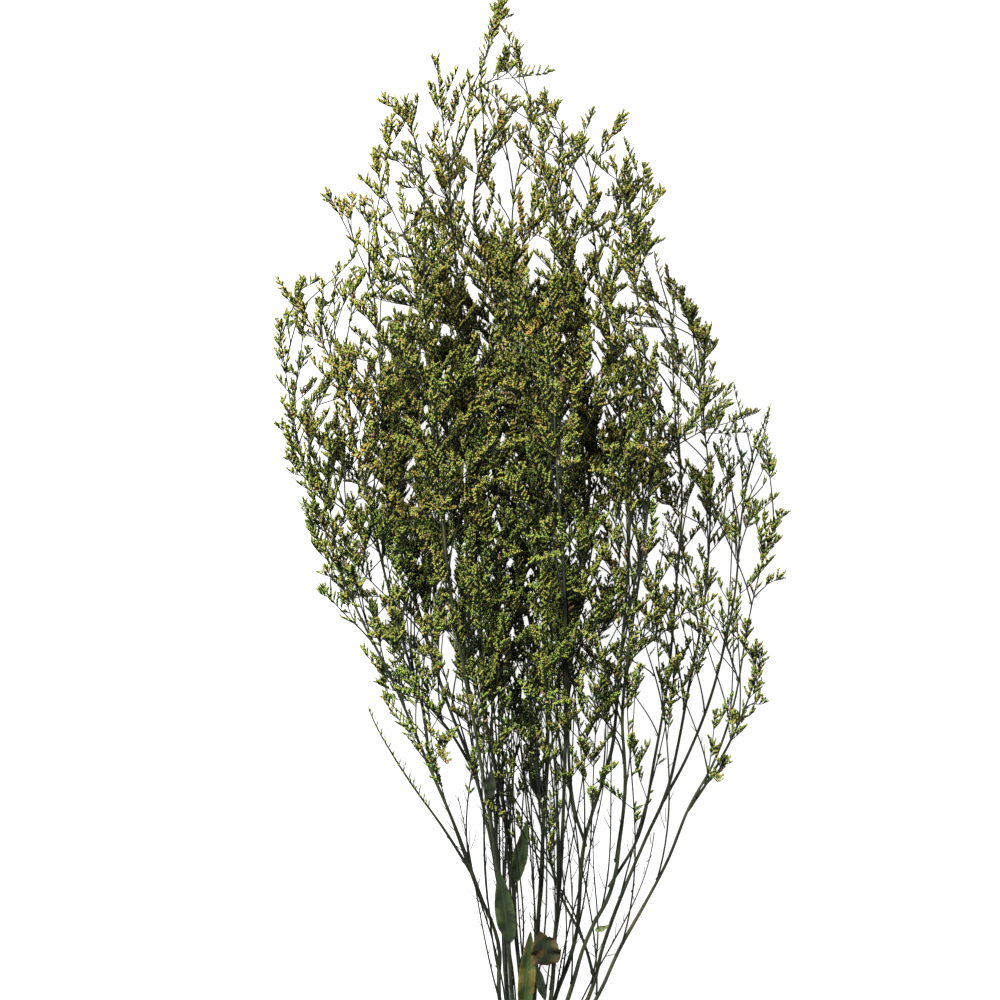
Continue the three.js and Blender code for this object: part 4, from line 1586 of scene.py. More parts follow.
class Rods(list[Rod]):
    """Many rods, read field by field."""

    def column(self, name: str) -> Array:
        """Give one field of all the rods."""
        return np.array([getattr(rod, name) for rod in self])

    def middles(self) -> Array:
        """Give the middles of the rods."""
        return self.column("root") + self.column("heading") * self.column("length")[:, None] / 2

    def along(self, places: Array, rows: Array) -> Spot:
        """Find points on the rods.

        Args:
            places: Places along the rods, from 0 to 1.
            rows: Number of the rod for each place.

        Returns:
            Points, directions and upper sides.
        """
        root, heading, way = (self.column(name)[rows] for name in ("root", "heading", "way"))
        length, bend = (self.column(name)[rows][:, None] for name in ("length", "bend"))
        return bent(root, heading, way, length, bend, places[:, None])

    def add_tubes(self, stock: MeshStock, shade: Shade, look: RodLook) -> None:
        """Add the rods as slim tubes to a piece.

        Args:
            stock: The piece.
            shade: How shaded each place in the head is.
            look: How they are drawn.
        """
        if not self:
            return
        count = len(self)
        places = np.tile(np.linspace(0, 1, look.rings), count)
        spots = self.along(places, np.repeat(np.arange(count), look.rings))
        vertices = tube(*spots, mix(look.root, look.tip, places) / 2, look.sides)
        triangles = repeated(ring_triangles(look.rings, look.sides), count, look.rings * look.sides)
        shades = np.repeat(shade.at(spots[0]), look.sides)
        stock.add(vertices, triangles, shade=shades, young=1.0)


class Trace:
    """A stretch of an axis sampled closely, and read by the distance along it."""

    STEP = 1.0

    def __init__(self, axis: Axis, start: float) -> None:
        """Sample an axis to its tip.

        Args:
            axis: The axis.
            start: Share of its length to start from.
        """
        self.points, self.ways, self.uppers = axis.drawn(self.STEP, start)
        steps = np.linalg.norm(np.diff(self.points, axis=0), axis=1)
        self.lengths = np.concatenate([[0.0], np.cumsum(steps)])
        self.total = self.lengths[-1]

    def at(self, along: float) -> Spot:
        """Give the point, the direction and the upper side at a distance along the stretch."""
        place = int(np.searchsorted(self.lengths, along))
        return self.points[place], self.ways[place], self.uppers[place]


@dataclass
class Sprays:
    """What one stem's axes carry: twiglets with spikes, and spikes of their own.

    Lengths are in millimetres and angles in radians. A field of type Spread holds the least of
    what is drawn and how far it reaches above that, and one of type Swing how far it swings in
    all and the share of that on the lower side.
    """

    twiglets: Rods = field(default_factory=Rods)
    spikes: Rods = field(default_factory=Rods)
    bare: Rods = field(default_factory=Rods)
    uneven: Spread = (0.7, 0.6)
    twiglet_step: float = 5.6
    twiglet_longest: float = 33.0
    twiglet_shortest: float = 16.0
    twiglet_start: Spread = (0.3, 1.0)
    twiglets_to: float = 0.92
    twiglet_angle: float = 0.68
    twiglet_angle_swing: Swing = (0.35, 0.5)
    twiglet_bend: Swing = (0.45, 0.2)
    twiglet_warmth: Swing = (0.2, 0.5)
    lowest_tip: float = 4.0
    outside_share: float = 0.4
    spikes_on_twiglet_from: float = 0.3
    spike_angle: float = 0.98
    spike_angle_swing: Swing = (0.4, 0.5)
    spike_bend: Swing = (0.3, 0.15)
    spike_step: float = 1.9
    spike_longest: float = 7.2
    spike_shortest: float = 3.6
    spike_uneven: Spread = (0.65, 0.7)
    free_end: float = 1.0
    hand_turn: float = 0.9
    hand_swing: Swing = (0.8, 0.5)
    unevenness: Swing = (0.24, 0.5)
    stray_share: float = 0.25
    green_below: float = 190.0
    orange_rise: float = 720.0
    warmest: float = 0.6
    warmth_spread: float = 0.25
    weak_between: tuple[float, float] = (140.0, 240.0)
    weakest: float = 0.6
    sparse_share: float = 0.7
    spent_share: float = 0.025
    end_spike: float = 6.0
    end_overlap: float = 0.8
    end_bend: float = 0.1
    end_lift: float = 0.5
    twiglet_end: float = 2.5
    twiglet_end_share: float = 0.8
    upright: float = 0.35
    bare_from: float = 0.15
    bare_step: float = 9.0
    bare_length: float = 11.0
    bare_angle: Spread = (0.4, 0.5)
    bare_uneven: Spread = (0.3, 1.0)
    bare_gap: Spread = (0.4, 1.6)
    bare_bend: float = 0.4

    FIXED = -2
    SINGLE = -1
    DOWN_TO_UP = np.array([1.0, 1.0, -1.0])

    def grow_on(self, axis: Axis, start: float, draws: Draws) -> None:
        """Set twiglets and spikes along one axis.

        Args:
            axis: The axis that carries them.
            start: Share of its length at which they start.
            draws: Source of their spread.
        """
        trace = Trace(axis, max(start, TINY))
        # The higher a spray stands, the more of its florets the sun has turned orange.
        height = (trace.points[-1][1] - self.green_below) / self.orange_rise
        warmth = min(max(height, 0.0), self.warmest) + self.warmth_spread * draws.next()
        self.set_spikes(axis, trace, warmth, draws)
        if axis.habit is Habit.FULL:
            self.set_twiglets(trace, warmth, draws)

    def set_bare(self, axis: Axis, end: float, draws: Draws) -> None:
        """Set a few thin twiglets that have lost their florets below an axis's sprays.

        Args:
            axis: The axis that carries them.
            end: Share of its length at which its sprays start.
            draws: Source of their spread.
        """
        step = self.bare_step / axis.length
        share = self.bare_from + step * draws.next()
        while share < end:
            way, upper = axis.way_at(share), axis.upper_at(share)
            outward = turned(upper, np.cross(way, upper), 2 * math.pi * draws.next())
            heading = turned(way, outward, draws.above(self.bare_angle))
            length = self.bare_length * draws.above(self.bare_uneven)
            self.bare.append(Rod(
                self.FIXED, share, axis.centre_at(share), heading, way, length,
                self.bare_bend * draws.next(),
            ))
            share += step * draws.above(self.bare_gap)

    def set_spikes(self, axis: Axis, trace: Trace, warmth: float, draws: Draws) -> None:
        """Set spikes left and right on the upper side of an axis, and one at its end.

        Args:
            axis: The axis.
            trace: Its flowering stretch.
            warmth: How orange the florets are.
            draws: Source of the spikes' spread.
        """
        look = LOOKS[axis.kind]
        sparse = float(axis.habit is Habit.SPARSE)
        scale = mix(1.0, self.sparse_share, sparse)
        hand = draws.hand()
        along = look.spike_step * draws.next()
        while along < trace.total - self.free_end:
            share = along / trace.total
            length = mix(look.spike_longest, look.spike_shortest, share)
            self.set_spike(
                self.SINGLE, share, trace.at(along), hand,
                length * scale * draws.above(self.spike_uneven), warmth, sparse, draws,
            )
            hand = -hand
            along += look.spike_step * draws.above(self.uneven) / scale
        end = self.end_spike * scale
        root = trace.at(trace.total - end * self.end_overlap)[0]
        way = unit(trace.points[-1] - root)
        facing = unit(way + self.end_lift * trace.uppers[-1])
        self.spikes.append(Rod(
            self.FIXED, 1.0, root, way, facing, end, self.end_bend, warmth, 0.0, sparse
        ))

    def set_spike(
        self, group: int, rank: float, spot: Spot, hand: int, length: float, warmth: float,
        sparse: float, draws: Draws,
    ) -> None:
        """Set one spike on the upper side of its parent, a shorter one low on the plant.

        Args:
            group: Number of its twiglet, or SINGLE.
            rank: Share of its parent's length at its root.
            spot: The parent's point, direction and upper side there.
            hand: 1 for one side, -1 for the other.
            length: Its length high on the plant.
            warmth: How orange its florets are.
            sparse: 1 where its florets are few and small.
            draws: Source of its spread.
        """
        root, way, upper = spot
        low, high = self.weak_between
        length *= mix(self.weakest, 1.0, smooth((root[1] - low) / (high - low)))
        side = np.cross(way, upper) * hand
        outward = turned(upper, side, self.hand_turn + draws.about(self.hand_swing))
        angle = self.spike_angle + draws.about(self.spike_angle_swing)
        spent = float(draws.next() < self.spent_share)
        bend = draws.about(self.spike_bend)
        facing = unit(mix(way, ALONG, self.upright))
        heading = unit(mix(turned(way, outward, angle), ALONG, self.upright / 2))
        self.spikes.append(Rod(
            group, rank, root, heading, facing, length, bend, warmth, spent, sparse
        ))

    def set_twiglets(self, trace: Trace, warmth: float, draws: Draws) -> None:
        """Set twiglets with their spikes round an axis.

        Args:
            trace: The axis's flowering stretch.
            warmth: How orange its florets are.
            draws: Source of the twiglets' spread.
        """
        turn = draws.next() * 2 * math.pi
        along = self.twiglet_step * draws.above(self.twiglet_start)
        while along < trace.total * self.twiglets_to:
            root, way, upper = trace.at(along)
            share = along / trace.total
            outward = turned(upper, np.cross(way, upper), turn)
            angle = self.twiglet_angle + draws.about(self.twiglet_angle_swing)
            heading = turned(way, outward, angle)
            length = mix(self.twiglet_longest, self.twiglet_shortest, share)
            length *= draws.above(self.uneven)
            if root[2] + heading[2] * length < self.lowest_tip:
                heading = heading * self.DOWN_TO_UP
            tip = root + heading * length
            if tip[2] > HEAD.top_over(tip[0], tip[1]):
                length *= self.outside_share
            bend = draws.about(self.twiglet_bend)
            self.twiglets.append(Rod(len(self.twiglets), share, root, heading, way, length, bend))
            self.set_twiglet_spikes(self.twiglets[-1], warmth, draws)
            turn += GOLDEN_ANGLE
            along += self.twiglet_step * draws.above(self.uneven)

    def set_twiglet_spikes(self, twiglet: Rod, warmth: float, draws: Draws) -> None:
        """Set the spikes of one twiglet.

        Args:
            twiglet: The twiglet.
            warmth: How orange the florets of its axis are.
            draws: Source of the spikes' spread.
        """
        group, _, *shape = twiglet[:7]
        length = twiglet.length
        hand = draws.hand()
        warmth = min(max(warmth + draws.about(self.twiglet_warmth), 0.0), 1.0)
        along = length * self.spikes_on_twiglet_from
        while along < length - self.free_end:
            share = along / length
            reach = mix(self.spike_longest, self.spike_shortest, share) * draws.above(self.uneven)
            self.set_spike(group, share, bent(*shape, share), hand, reach, warmth, 0.0, draws)
            hand = -hand
            along += self.spike_step * draws.above(self.uneven)
        root = bent(*shape, 1 - self.twiglet_end / length)[0]
        _, way, upper = bent(*shape, 1.0)
        self.spikes.append(Rod(
            group, 1.0, root, way, unit(way + self.end_lift * upper),
            self.end_spike * self.twiglet_end_share, self.end_bend, warmth,
        ))

    def thin(self, crowd: Crowd, draws: Draws) -> None:
        """Shed twiglets and spikes where the head would be too full, mostly the lowest.

        Args:
            crowd: How crowded each place is.
            draws: Source of the choice.
        """
        def stays(rank: float, share: float) -> bool:
            """Tell whether a twiglet or spike stays.

            Args:
                rank: Share of its parent's length at its root.
                share: Share of the sprays that stay there.

            Returns:
                Whether it stays.
            """
            low = 1 - share * (1 - self.stray_share)
            is_high = rank > low + draws.about(self.unevenness)
            return is_high or draws.next() < share * self.stray_share

        shares = crowd.share_at(self.twiglets.middles())
        kept = {rod.group for rod, share in zip(self.twiglets, shares) if stays(rod.rank, share)}
        self.twiglets = Rods(rod for rod in self.twiglets if rod.group in kept)
        shares = crowd.share_at(self.spikes.middles())
        self.spikes = Rods(
            rod for rod, share in zip(self.spikes, shares)
            if rod.group == self.FIXED or rod.group in kept
            or (rod.group == self.SINGLE and stays(rod.rank, share))
        )


class Cells:
    """Sums over even cells, square or cubic, that hold every given point."""

    def __init__(self, points: Array, amounts: Array | float, size: float) -> None:
        """Add up the points' amounts by cell.

        Args:
            points: The points, one row each.
            amounts: One amount, or one for each point.
            size: Side of a cell.
        """
        self.size = size
        self.low = points.min(axis=0) - 2 * size
        counts = np.ceil((points.max(axis=0) - self.low) / size).astype(int) + 3
        self.sums = np.zeros(counts)
        np.add.at(self.sums, self.places(points), amounts)

    def places(self, points: Array) -> tuple[Array, ...]:
        """Find the cells that points lie in, or the nearest ones."""
        cells = ((points - self.low) / self.size).astype(int)
        return tuple(np.clip(cells, 0, np.array(self.sums.shape) - 1).T)

    def soften(self, weights: Spread) -> None:
        """Spread each sum over its neighbours.

        Args:
            weights: The share that goes to each side, and the share that stays.
        """
        beside, here = weights
        for turn in range(self.sums.ndim):
            self.sums = sum(
                np.roll(self.sums, shift, axis=turn) * weight
                for shift, weight in ((-1, beside), (0, here), (1, beside))
            )

    def at(self, points: Array) -> Array:
        """Read the sums of the cells that points lie in."""
        return self.sums[self.places(points)]


class Crowd:
    """How far the sprays of the whole bunch must thin out at each place seen from above."""

    CELL = 15.0
    SOFTENING = (0.25, 0.5)
    # It takes this many millimetres of spike on each mm2 to make a layer of sprays.
    LAYER = 0.76

    def __init__(self, fullness: Fullness, all_spikes: Sequence[Rods]) -> None:
        """Add up the spikes' lengths by cell.

        Args:
            fullness: How dense the sprays are to be.
            all_spikes: The spikes of every stem of the bunch.
        """
        self.fullness = fullness
        middles = np.vstack([spikes.middles() for spikes in all_spikes])
        lengths = np.concatenate([spikes.column("length") for spikes in all_spikes])
        self.grown = Cells(middles[:, :2], lengths, self.CELL)
        self.grown.soften(self.SOFTENING)

    def share_at(self, points: Array) -> Array:
        """Give the share of the sprays that stay at points."""
        grown = self.grown.at(points[:, :2]) / self.CELL**2
        return self.LAYER * self.fullness.at(points) / np.maximum(grown, TINY)


@dataclass(frozen=True)
class Florets:
    """The florets: slim funnels in two rows along the upper side of each spike."""

    length: float = 2.7
    width: float = 1.42
    spacing: float = 0.74
    first: float = 0.04
    lean: float = 0.58
    spread: float = 0.65
    upright: float = 0.2
    sides: int = 3
    fewest: int = 3
    raised: float = 0.1
    tilt: float = 0.01
    spread_draw: Spread = (0.5, 1.0)
    lean_draw: Spread = (0.85, 0.3)
    size_draw: Spread = (0.85, 0.4)
    width_draw: Spread = (0.85, 0.3)
    lean_loss: float = 0.5
    tip_loss: float = 0.25
    sparse_loss: float = 0.25
    sparse_spacing: float = 0.6
    mixed: float = 0.85
    spent_tone: float = 0.8
    lone_spent_share: float = 0.02
    lone_spent_tone: float = 0.9

    def template(self) -> tuple[Array, Array]:
        """Shape one floret, which widens from its root to the flat mouth of its calyx.

        Returns:
            Its points as (beside, outward, along), and its triangles.
        """
        turns = 2 * math.pi * np.arange(self.sides) / self.sides
        mouth = np.column_stack([np.cos(turns), np.sin(turns), np.ones(self.sides)])
        ring = np.arange(self.sides)
        triangles = np.vstack([fan_triangles(ring, self.sides, False), ring[None]])
        return np.vstack([mouth, [[0.0, 0.0, 0.0]]]), triangles

    def add_to(
        self, stock: MeshStock, spikes: Rods, shade: Shade, source: np.random.Generator
    ) -> int:
        """Set florets along every spike of a piece.

        Args:
            stock: The piece.
            spikes: The spikes.
            shade: How shaded each place in the head is.
            source: Source of the florets' spread.

        Returns:
            Number of florets.
        """
        def draw(spread: Spread) -> Array:
            """Draw one number for each floret, from the spread's least one up."""
            return spread[0] + spread[1] * source.random(total)

        lengths, warmths, ages, habits = (
            spikes.column(name) for name in ("length", "warmth", "spent", "sparse")
        )
        spacing = self.spacing * (1 + self.sparse_spacing * habits)
        counts = np.maximum((lengths * (1 - self.first) / spacing).astype(int), self.fewest)
        rows = np.repeat(np.arange(len(counts)), counts)
        order = np.arange(len(rows)) - np.repeat(np.cumsum(counts) - counts, counts)
        places = mix(self.first, 1.0, (order + 0.5) / counts[rows])
        points, ways, uppers = spikes.along(places, rows)
        beside = np.cross(ways, uppers)
        total = len(rows)
        hands = np.where(order % 2 == 0, 1.0, -1.0)
        spread = (self.spread * draw(self.spread_draw) * hands)[:, None]
        lean = (self.lean * draw(self.lean_draw) * (1 - self.lean_loss * places))[:, None]
        outward = turned(uppers, beside, spread)
        pointing = unit(mix(turned(ways, outward, lean), ALONG, self.upright))
        hollow = across(pointing, ways + self.tilt * UP)
        side = np.cross(pointing, hollow)
        sizes = draw(self.size_draw) * (1 - self.sparse_loss * habits[rows])
        sizes *= 1 - self.tip_loss * places
        shape, triangles = self.template()
        local = np.broadcast_to(shape, (total, *shape.shape))
        widths = (sizes * self.width / 2 * draw(self.width_draw))[:, None, None]
        vertices = (
            (points + outward * self.raised)[:, None]
            + side[:, None] * local[..., :1] * widths
            + hollow[:, None] * local[..., 1:2] * widths
            + pointing[:, None] * local[..., 2:] * (sizes * self.length)[:, None, None]
        )
        tones = np.clip(warmths[rows] + self.mixed * (source.random(total) - 0.5), 0, 1)
        # A few fade alone, besides those of the spikes that have faded as a whole.
        lone = source.random(total) < self.lone_spent_share
        spent = np.maximum(ages[rows] * self.spent_tone, lone * self.lone_spent_tone)
        per = len(shape)
        stock.add(
            vertices.reshape(-1, 3),
            repeated(triangles, total, per),
            along=np.tile(shape[:, 2], total),
            tone=np.repeat(tones, per),
            spent=np.repeat(spent, per),
            shade=np.repeat(shade.at(points), per),
        )
        return total


class Shade:
    """How deep in the head each place is, from the sprays between it and the open, which sets the
    painted shade.
    """

    CELL = 6.0
    SPIKE_AREA = 11.0

    def __init__(self, middles: Array) -> None:
        """Add up the sprays over, under and beside each cell.

        Args:
            middles: Middles of every spike of the bunch.
        """
        self.depth = Cells(middles, self.SPIKE_AREA / self.CELL**2, self.CELL)
        self.depth.soften((1 / 3, 1 / 3))
        layers = self.depth.sums
        sums = []
        for turn in (0, 2):
            beyond = np.flip(np.cumsum(np.flip(layers, turn), axis=turn), turn)
            sums += [beyond - layers / 2, np.cumsum(layers, axis=turn) - layers / 2]
        self.depth.sums = np.min(sums, axis=0)

    def at(self, points: Array) -> Array:
        """Give the shade at points, from 0 in the open to 1 deep inside."""
        return 1 - np.exp(-self.depth.at(points))


@dataclass(frozen=True)
class Shoots:
    """Thin side limbs that the solids leave out, low on the stems and where the head is thin."""

    first_y: float = 55.0
    last_y: float = 450.0
    step: float = 15.0
    outer_step: float = 20.0
    shortest: float = 110.0
    longest: float = 250.0
    fillers_from: float = 170.0
    filler_share: float = 0.55
    least_need: float = 1.1
    spread: float = 36.0
    middle_x: float = -8.0
    pull: float = 0.95
    filler_pull: float = 0.3
    sway: float = 0.5
    root_clear: float = 8.0
    tip_clear: float = 30.0
    end_y_share: float = 0.98
    level_share: float = 0.4
    gap: Spread = (0.6, 0.8)
    bends: tuple[float, float] = (0.5, 0.4)

    def grow_on(self, limb: Axis, crowd: Crowd, draws: Draws) -> list[Axis]:
        """Grow the shoots of one limb.

        Args:
            limb: The limb.
            crowd: How crowded each place is.
            draws: Source of their spread.

        Returns:
            The shoots.
        """
        shoots = []
        y = max(self.first_y, limb.points[0][1] + self.root_clear) + self.step * draws.next()
        while y < min(self.last_y, limb.points[-1][1] - self.tip_clear):
            share = limb.curve.share_at_y(y)
            root, way = limb.centre_at(share), limb.way_at(share)
            is_filler = y > self.fillers_from
            length = mix(self.shortest, self.longest, draws.next())
            length *= self.filler_share if is_filler else 1.0
            end = root + way * length
            # Most low ones stay near the middle of the bunch.
            pull = self.filler_pull if is_filler else self.pull
            middle_x = mix(end[0], self.middle_x, pull * draws.next())
            tip = np.array([
                middle_x + draws.about((self.spread, 0.5)),
                end[1] * self.end_y_share,
                mix(end[2], HEAD.middle_height, self.level_share)
                + draws.about((self.spread * 2, 0.5)),
            ])
            fits = 0 < tip[2] < HEAD.top_over(tip[0], tip[1])
            needed = not is_filler or crowd.share_at(tip[None])[0] > self.least_need
            if fits and needed:
                curve = self.curve(root, way, tip, draws)
                shoots.append(Axis(limb.stem, AxisKind.SHOOT, curve, way, limb.habit))
            step = self.step * (1.0 if is_filler else 1 + abs(root[0]) / self.outer_step)
            y += step * draws.above(self.gap)
        return shoots

    def curve(self, root: Array, way: Array, tip: Array, draws: Draws) -> BentCurve:
        """Lay a shoot's slightly swaying curve.

        Args:
            root: Its root.
            way: Direction of its limb there.
            tip: Its tip.
            draws: Source of the sway.

        Returns:
            The curve.
        """
        straight = unit(tip - root)
        third = float(np.linalg.norm(tip - root)) / 3
        sway = draws.about((self.sway * third, 0.5)) * np.cross(straight, UP)
        leaving, arriving = (
            unit(mix(straight, towards, bend))
            for towards, bend in zip((way, ALONG), self.bends)
        )
        return BentCurve([
            root,
            HEAD.lifted(root + leaving * third + sway),
            HEAD.lifted(tip - arriving * third - sway),
            tip,
        ])


@dataclass
class FloweringStem:
    """One stem with everything that grows on it, as a piece of axes and a piece of florets."""

    number: int
    axes: list[Axis]
    middle: Array
    sprays: Sprays = field(default_factory=Sprays)
    florets: Florets = field(default_factory=Florets)
    shoots: Shoots = field(default_factory=Shoots)
    flowers_from: float = 190.0
    shoots_flower_from: float = 172.0
    flower_spread: float = 100.0
    fine_share: Spread = (0.1, 0.45)
    latest_start: float = 0.97
    swell: float = 0.05
    swell_length: float = 11.0
    young_below: tuple[float, float] = (1.0, 3.2)
    cut_rim: float = 0.72
    cut_depths: tuple[float, float] = (0.25, 0.3)
    scale_root: float = 1.4
    scale_root_share: float = 0.3
    scale_length: float = 3.2
    scale_shares: tuple[float, float] = (1.2, 0.8)
    scale_width: float = 0.8
    scale_heights: tuple[float, float, float] = (0.1, 0.7, 0.9)
    scale_seat: float = 0.5
    twiglet_look: RodLook = RodLook(0.75, 0.5, 4)
    bare_look: RodLook = RodLook(0.6, 0.4, 3)
    spike_look: RodLook = RodLook(0.55, 0.4, 2)

    def grow(self, fullness: Fullness) -> None:
        """Grow twiglets and spikes on the stem's planned axes.

        Args:
            fullness: How dense the sprays are to be.
        """
        draws = Draws(Purpose.SPRAYS, self.number)
        # The solids leave these twigs out, and here they grow only where the head is full.
        least, more = self.fine_share
        self.axes = [
            axis for axis in self.axes
            if not axis.is_fine
            or draws.next() < least + more * float(fullness.at(axis.points[-1])[0])
        ]
        for axis in self.axes:
            self.set_sprays(axis, draws)

    def fill(self, crowd: Crowd) -> None:
        """Grow shoots with their sprays, low on the stem and where the head is still thin.

        Args:
            crowd: How crowded each place is.
        """
        draws = Draws(Purpose.SHOOTS, self.number)
        limbs = [
            axis for axis in self.axes
            if axis.kind in (AxisKind.STEM, AxisKind.FORK) and axis.habit is Habit.FULL
        ]
        for limb in limbs:
            for shoot in self.shoots.grow_on(limb, crowd, draws):
                self.axes.append(shoot)
                self.set_sprays(shoot, draws)

    def set_sprays(self, axis: Axis, draws: Draws) -> None:
        """Set the sprays of one axis, from the height at which it starts to flower.

        Args:
            axis: The axis.
            draws: Source of the height and of the sprays' spread.
        """
        start = LOOKS[axis.kind].spikes_from
        if axis.kind in (AxisKind.STEM, AxisKind.SHOOT):
            is_stem = axis.kind is AxisKind.STEM
            from_y = self.flowers_from if is_stem else self.shoots_flower_from
            from_y += self.flower_spread * draws.next()
            start = max(start, axis.curve.share_at_y(from_y))
        if start < self.latest_start:
            self.sprays.grow_on(axis, start, draws)
        if axis.kind is AxisKind.SHOOT:
            self.sprays.set_bare(axis, start, draws)

    def add_axis(self, stock: MeshStock, axis: Axis, shade: Shade) -> None:
        """Add one axis as a round tapering tube with a closed tip.

        Args:
            stock: The piece.
            axis: The axis.
            shade: How shaded each place in the head is.
        """
        look = LOOKS[axis.kind]
        points, ways, uppers = axis.drawn(look.ring_step)
        shares = np.linspace(0, 1, len(points))
        # An axis thickens a little at its nodes.
        swell = 1 + self.swell * np.sin(shares * axis.length / self.swell_length + axis.stem)
        radii = mix(look.root, look.tip, shares) / 2 * swell
        vertices = tube(points, ways, uppers, radii, look.sides)
        count = len(points)
        last = (count - 1) * look.sides + np.arange(look.sides)
        end = points[-1] + ways[-1] * look.tip
        vertices = np.vstack([vertices, end])
        triangles = np.vstack([
            ring_triangles(count, look.sides),
            fan_triangles(last, len(vertices) - 1, True),
        ])
        shades = np.append(np.repeat(shade.at(points), look.sides), 0.0)
        thin, thick = self.young_below
        young = 1 - smooth((look.root - thin) / (thick - thin))
        stock.add(vertices, triangles, shade=shades, young=young)
        if axis.kind is AxisKind.STEM:
            self.add_cut(stock, points[0], ways[0], uppers[0], look)

    def add_cut(
        self, stock: MeshStock, point: Array, way: Array, upper: Array, look: AxisLook
    ) -> None:
        """Close the cut end with a slightly hollow disc of pith.

        Args:
            stock: The piece.
            point: Middle of the cut.
            way: Direction of the stem there.
            upper: Upper side there.
            look: The stem's sizes.
        """
        sides, radius = look.sides, look.root / 2
        hollow, deepest = self.cut_depths
        points = np.array([point, point + way * hollow])
        radii = np.array([radius, radius * self.cut_rim])
        rings = tube(points, np.array([way, way]), np.array([upper, upper]), radii, sides)
        disc = fan_triangles(sides + np.arange(sides), 2 * sides, False)
        stock.add(
            np.vstack([rings, point + way * deepest]),
            np.vstack([ring_triangles(2, sides), disc]), finish=1, shade=0.0, young=0.0,
        )

    def add_scale(self, stock: MeshStock, axis: Axis) -> None:
        """Add the small dry scale that clasps the root of a side axis.

        Args:
            stock: The piece.
            axis: The axis.
        """
        start = min(self.scale_root / axis.length, self.scale_root_share)
        point = axis.centre_at(start)
        way, upper = axis.way_at(start), axis.upper_at(start)
        beside = np.cross(way, upper)
        outer = -upper
        size = self.scale_length * self.scale_shares[axis.kind is not AxisKind.FORK]
        low, ridge, tip = self.scale_heights
        base = point + outer * self.scale_seat
        vertices = np.array([
            base + beside * self.scale_width + outer * low,
            base - beside * self.scale_width + outer * low,
            base + outer * ridge,
            base + way * size + outer * tip,
        ])
        triangles = np.array([[0, 2, 3], [2, 1, 3], [0, 3, 1], [0, 1, 2]])
        stock.add(vertices, triangles, shade=0.0, young=0.0)

    def build(
        self, shade: Shade, rind: bpy.types.Material, pith: bpy.types.Material,
        papery: bpy.types.Material,
    ) -> tuple[bpy.types.Object, bpy.types.Object, int]:
        """Build both pieces of the stem.

        Args:
            shade: How shaded each place in the head is.
            rind: Material of the axes.
            pith: Material of the cut end.
            papery: Material of the florets.

        Returns:
            The axes, the florets, and the number of florets.
        """
        node = f"stem_{self.number}"
        wood = MeshStock(("shade", "young"))
        for axis in self.axes:
            self.add_axis(wood, axis, shade)
            if axis.kind is not AxisKind.STEM and axis.kind is not AxisKind.TOP:
                self.add_scale(wood, axis)
        self.sprays.twiglets.add_tubes(wood, shade, self.twiglet_look)
        self.sprays.bare.add_tubes(wood, shade, self.bare_look)
        self.sprays.spikes.add_tubes(wood, shade, self.spike_look)
        blooms = MeshStock(("along", "tone", "spent", "shade"))
        source = np.random.default_rng(SEED + self.number)
        count = self.florets.add_to(blooms, self.sprays.spikes, shade, source)
        stem = wood.piece(f"{node}_branches", self.middle, (rind, pith))
        bloom = blooms.piece(f"{node}_florets", self.middle, (papery,), faceted=True)
        for piece in (stem, bloom):
            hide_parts(node)
            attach(piece, "root")
        return stem, bloom, count


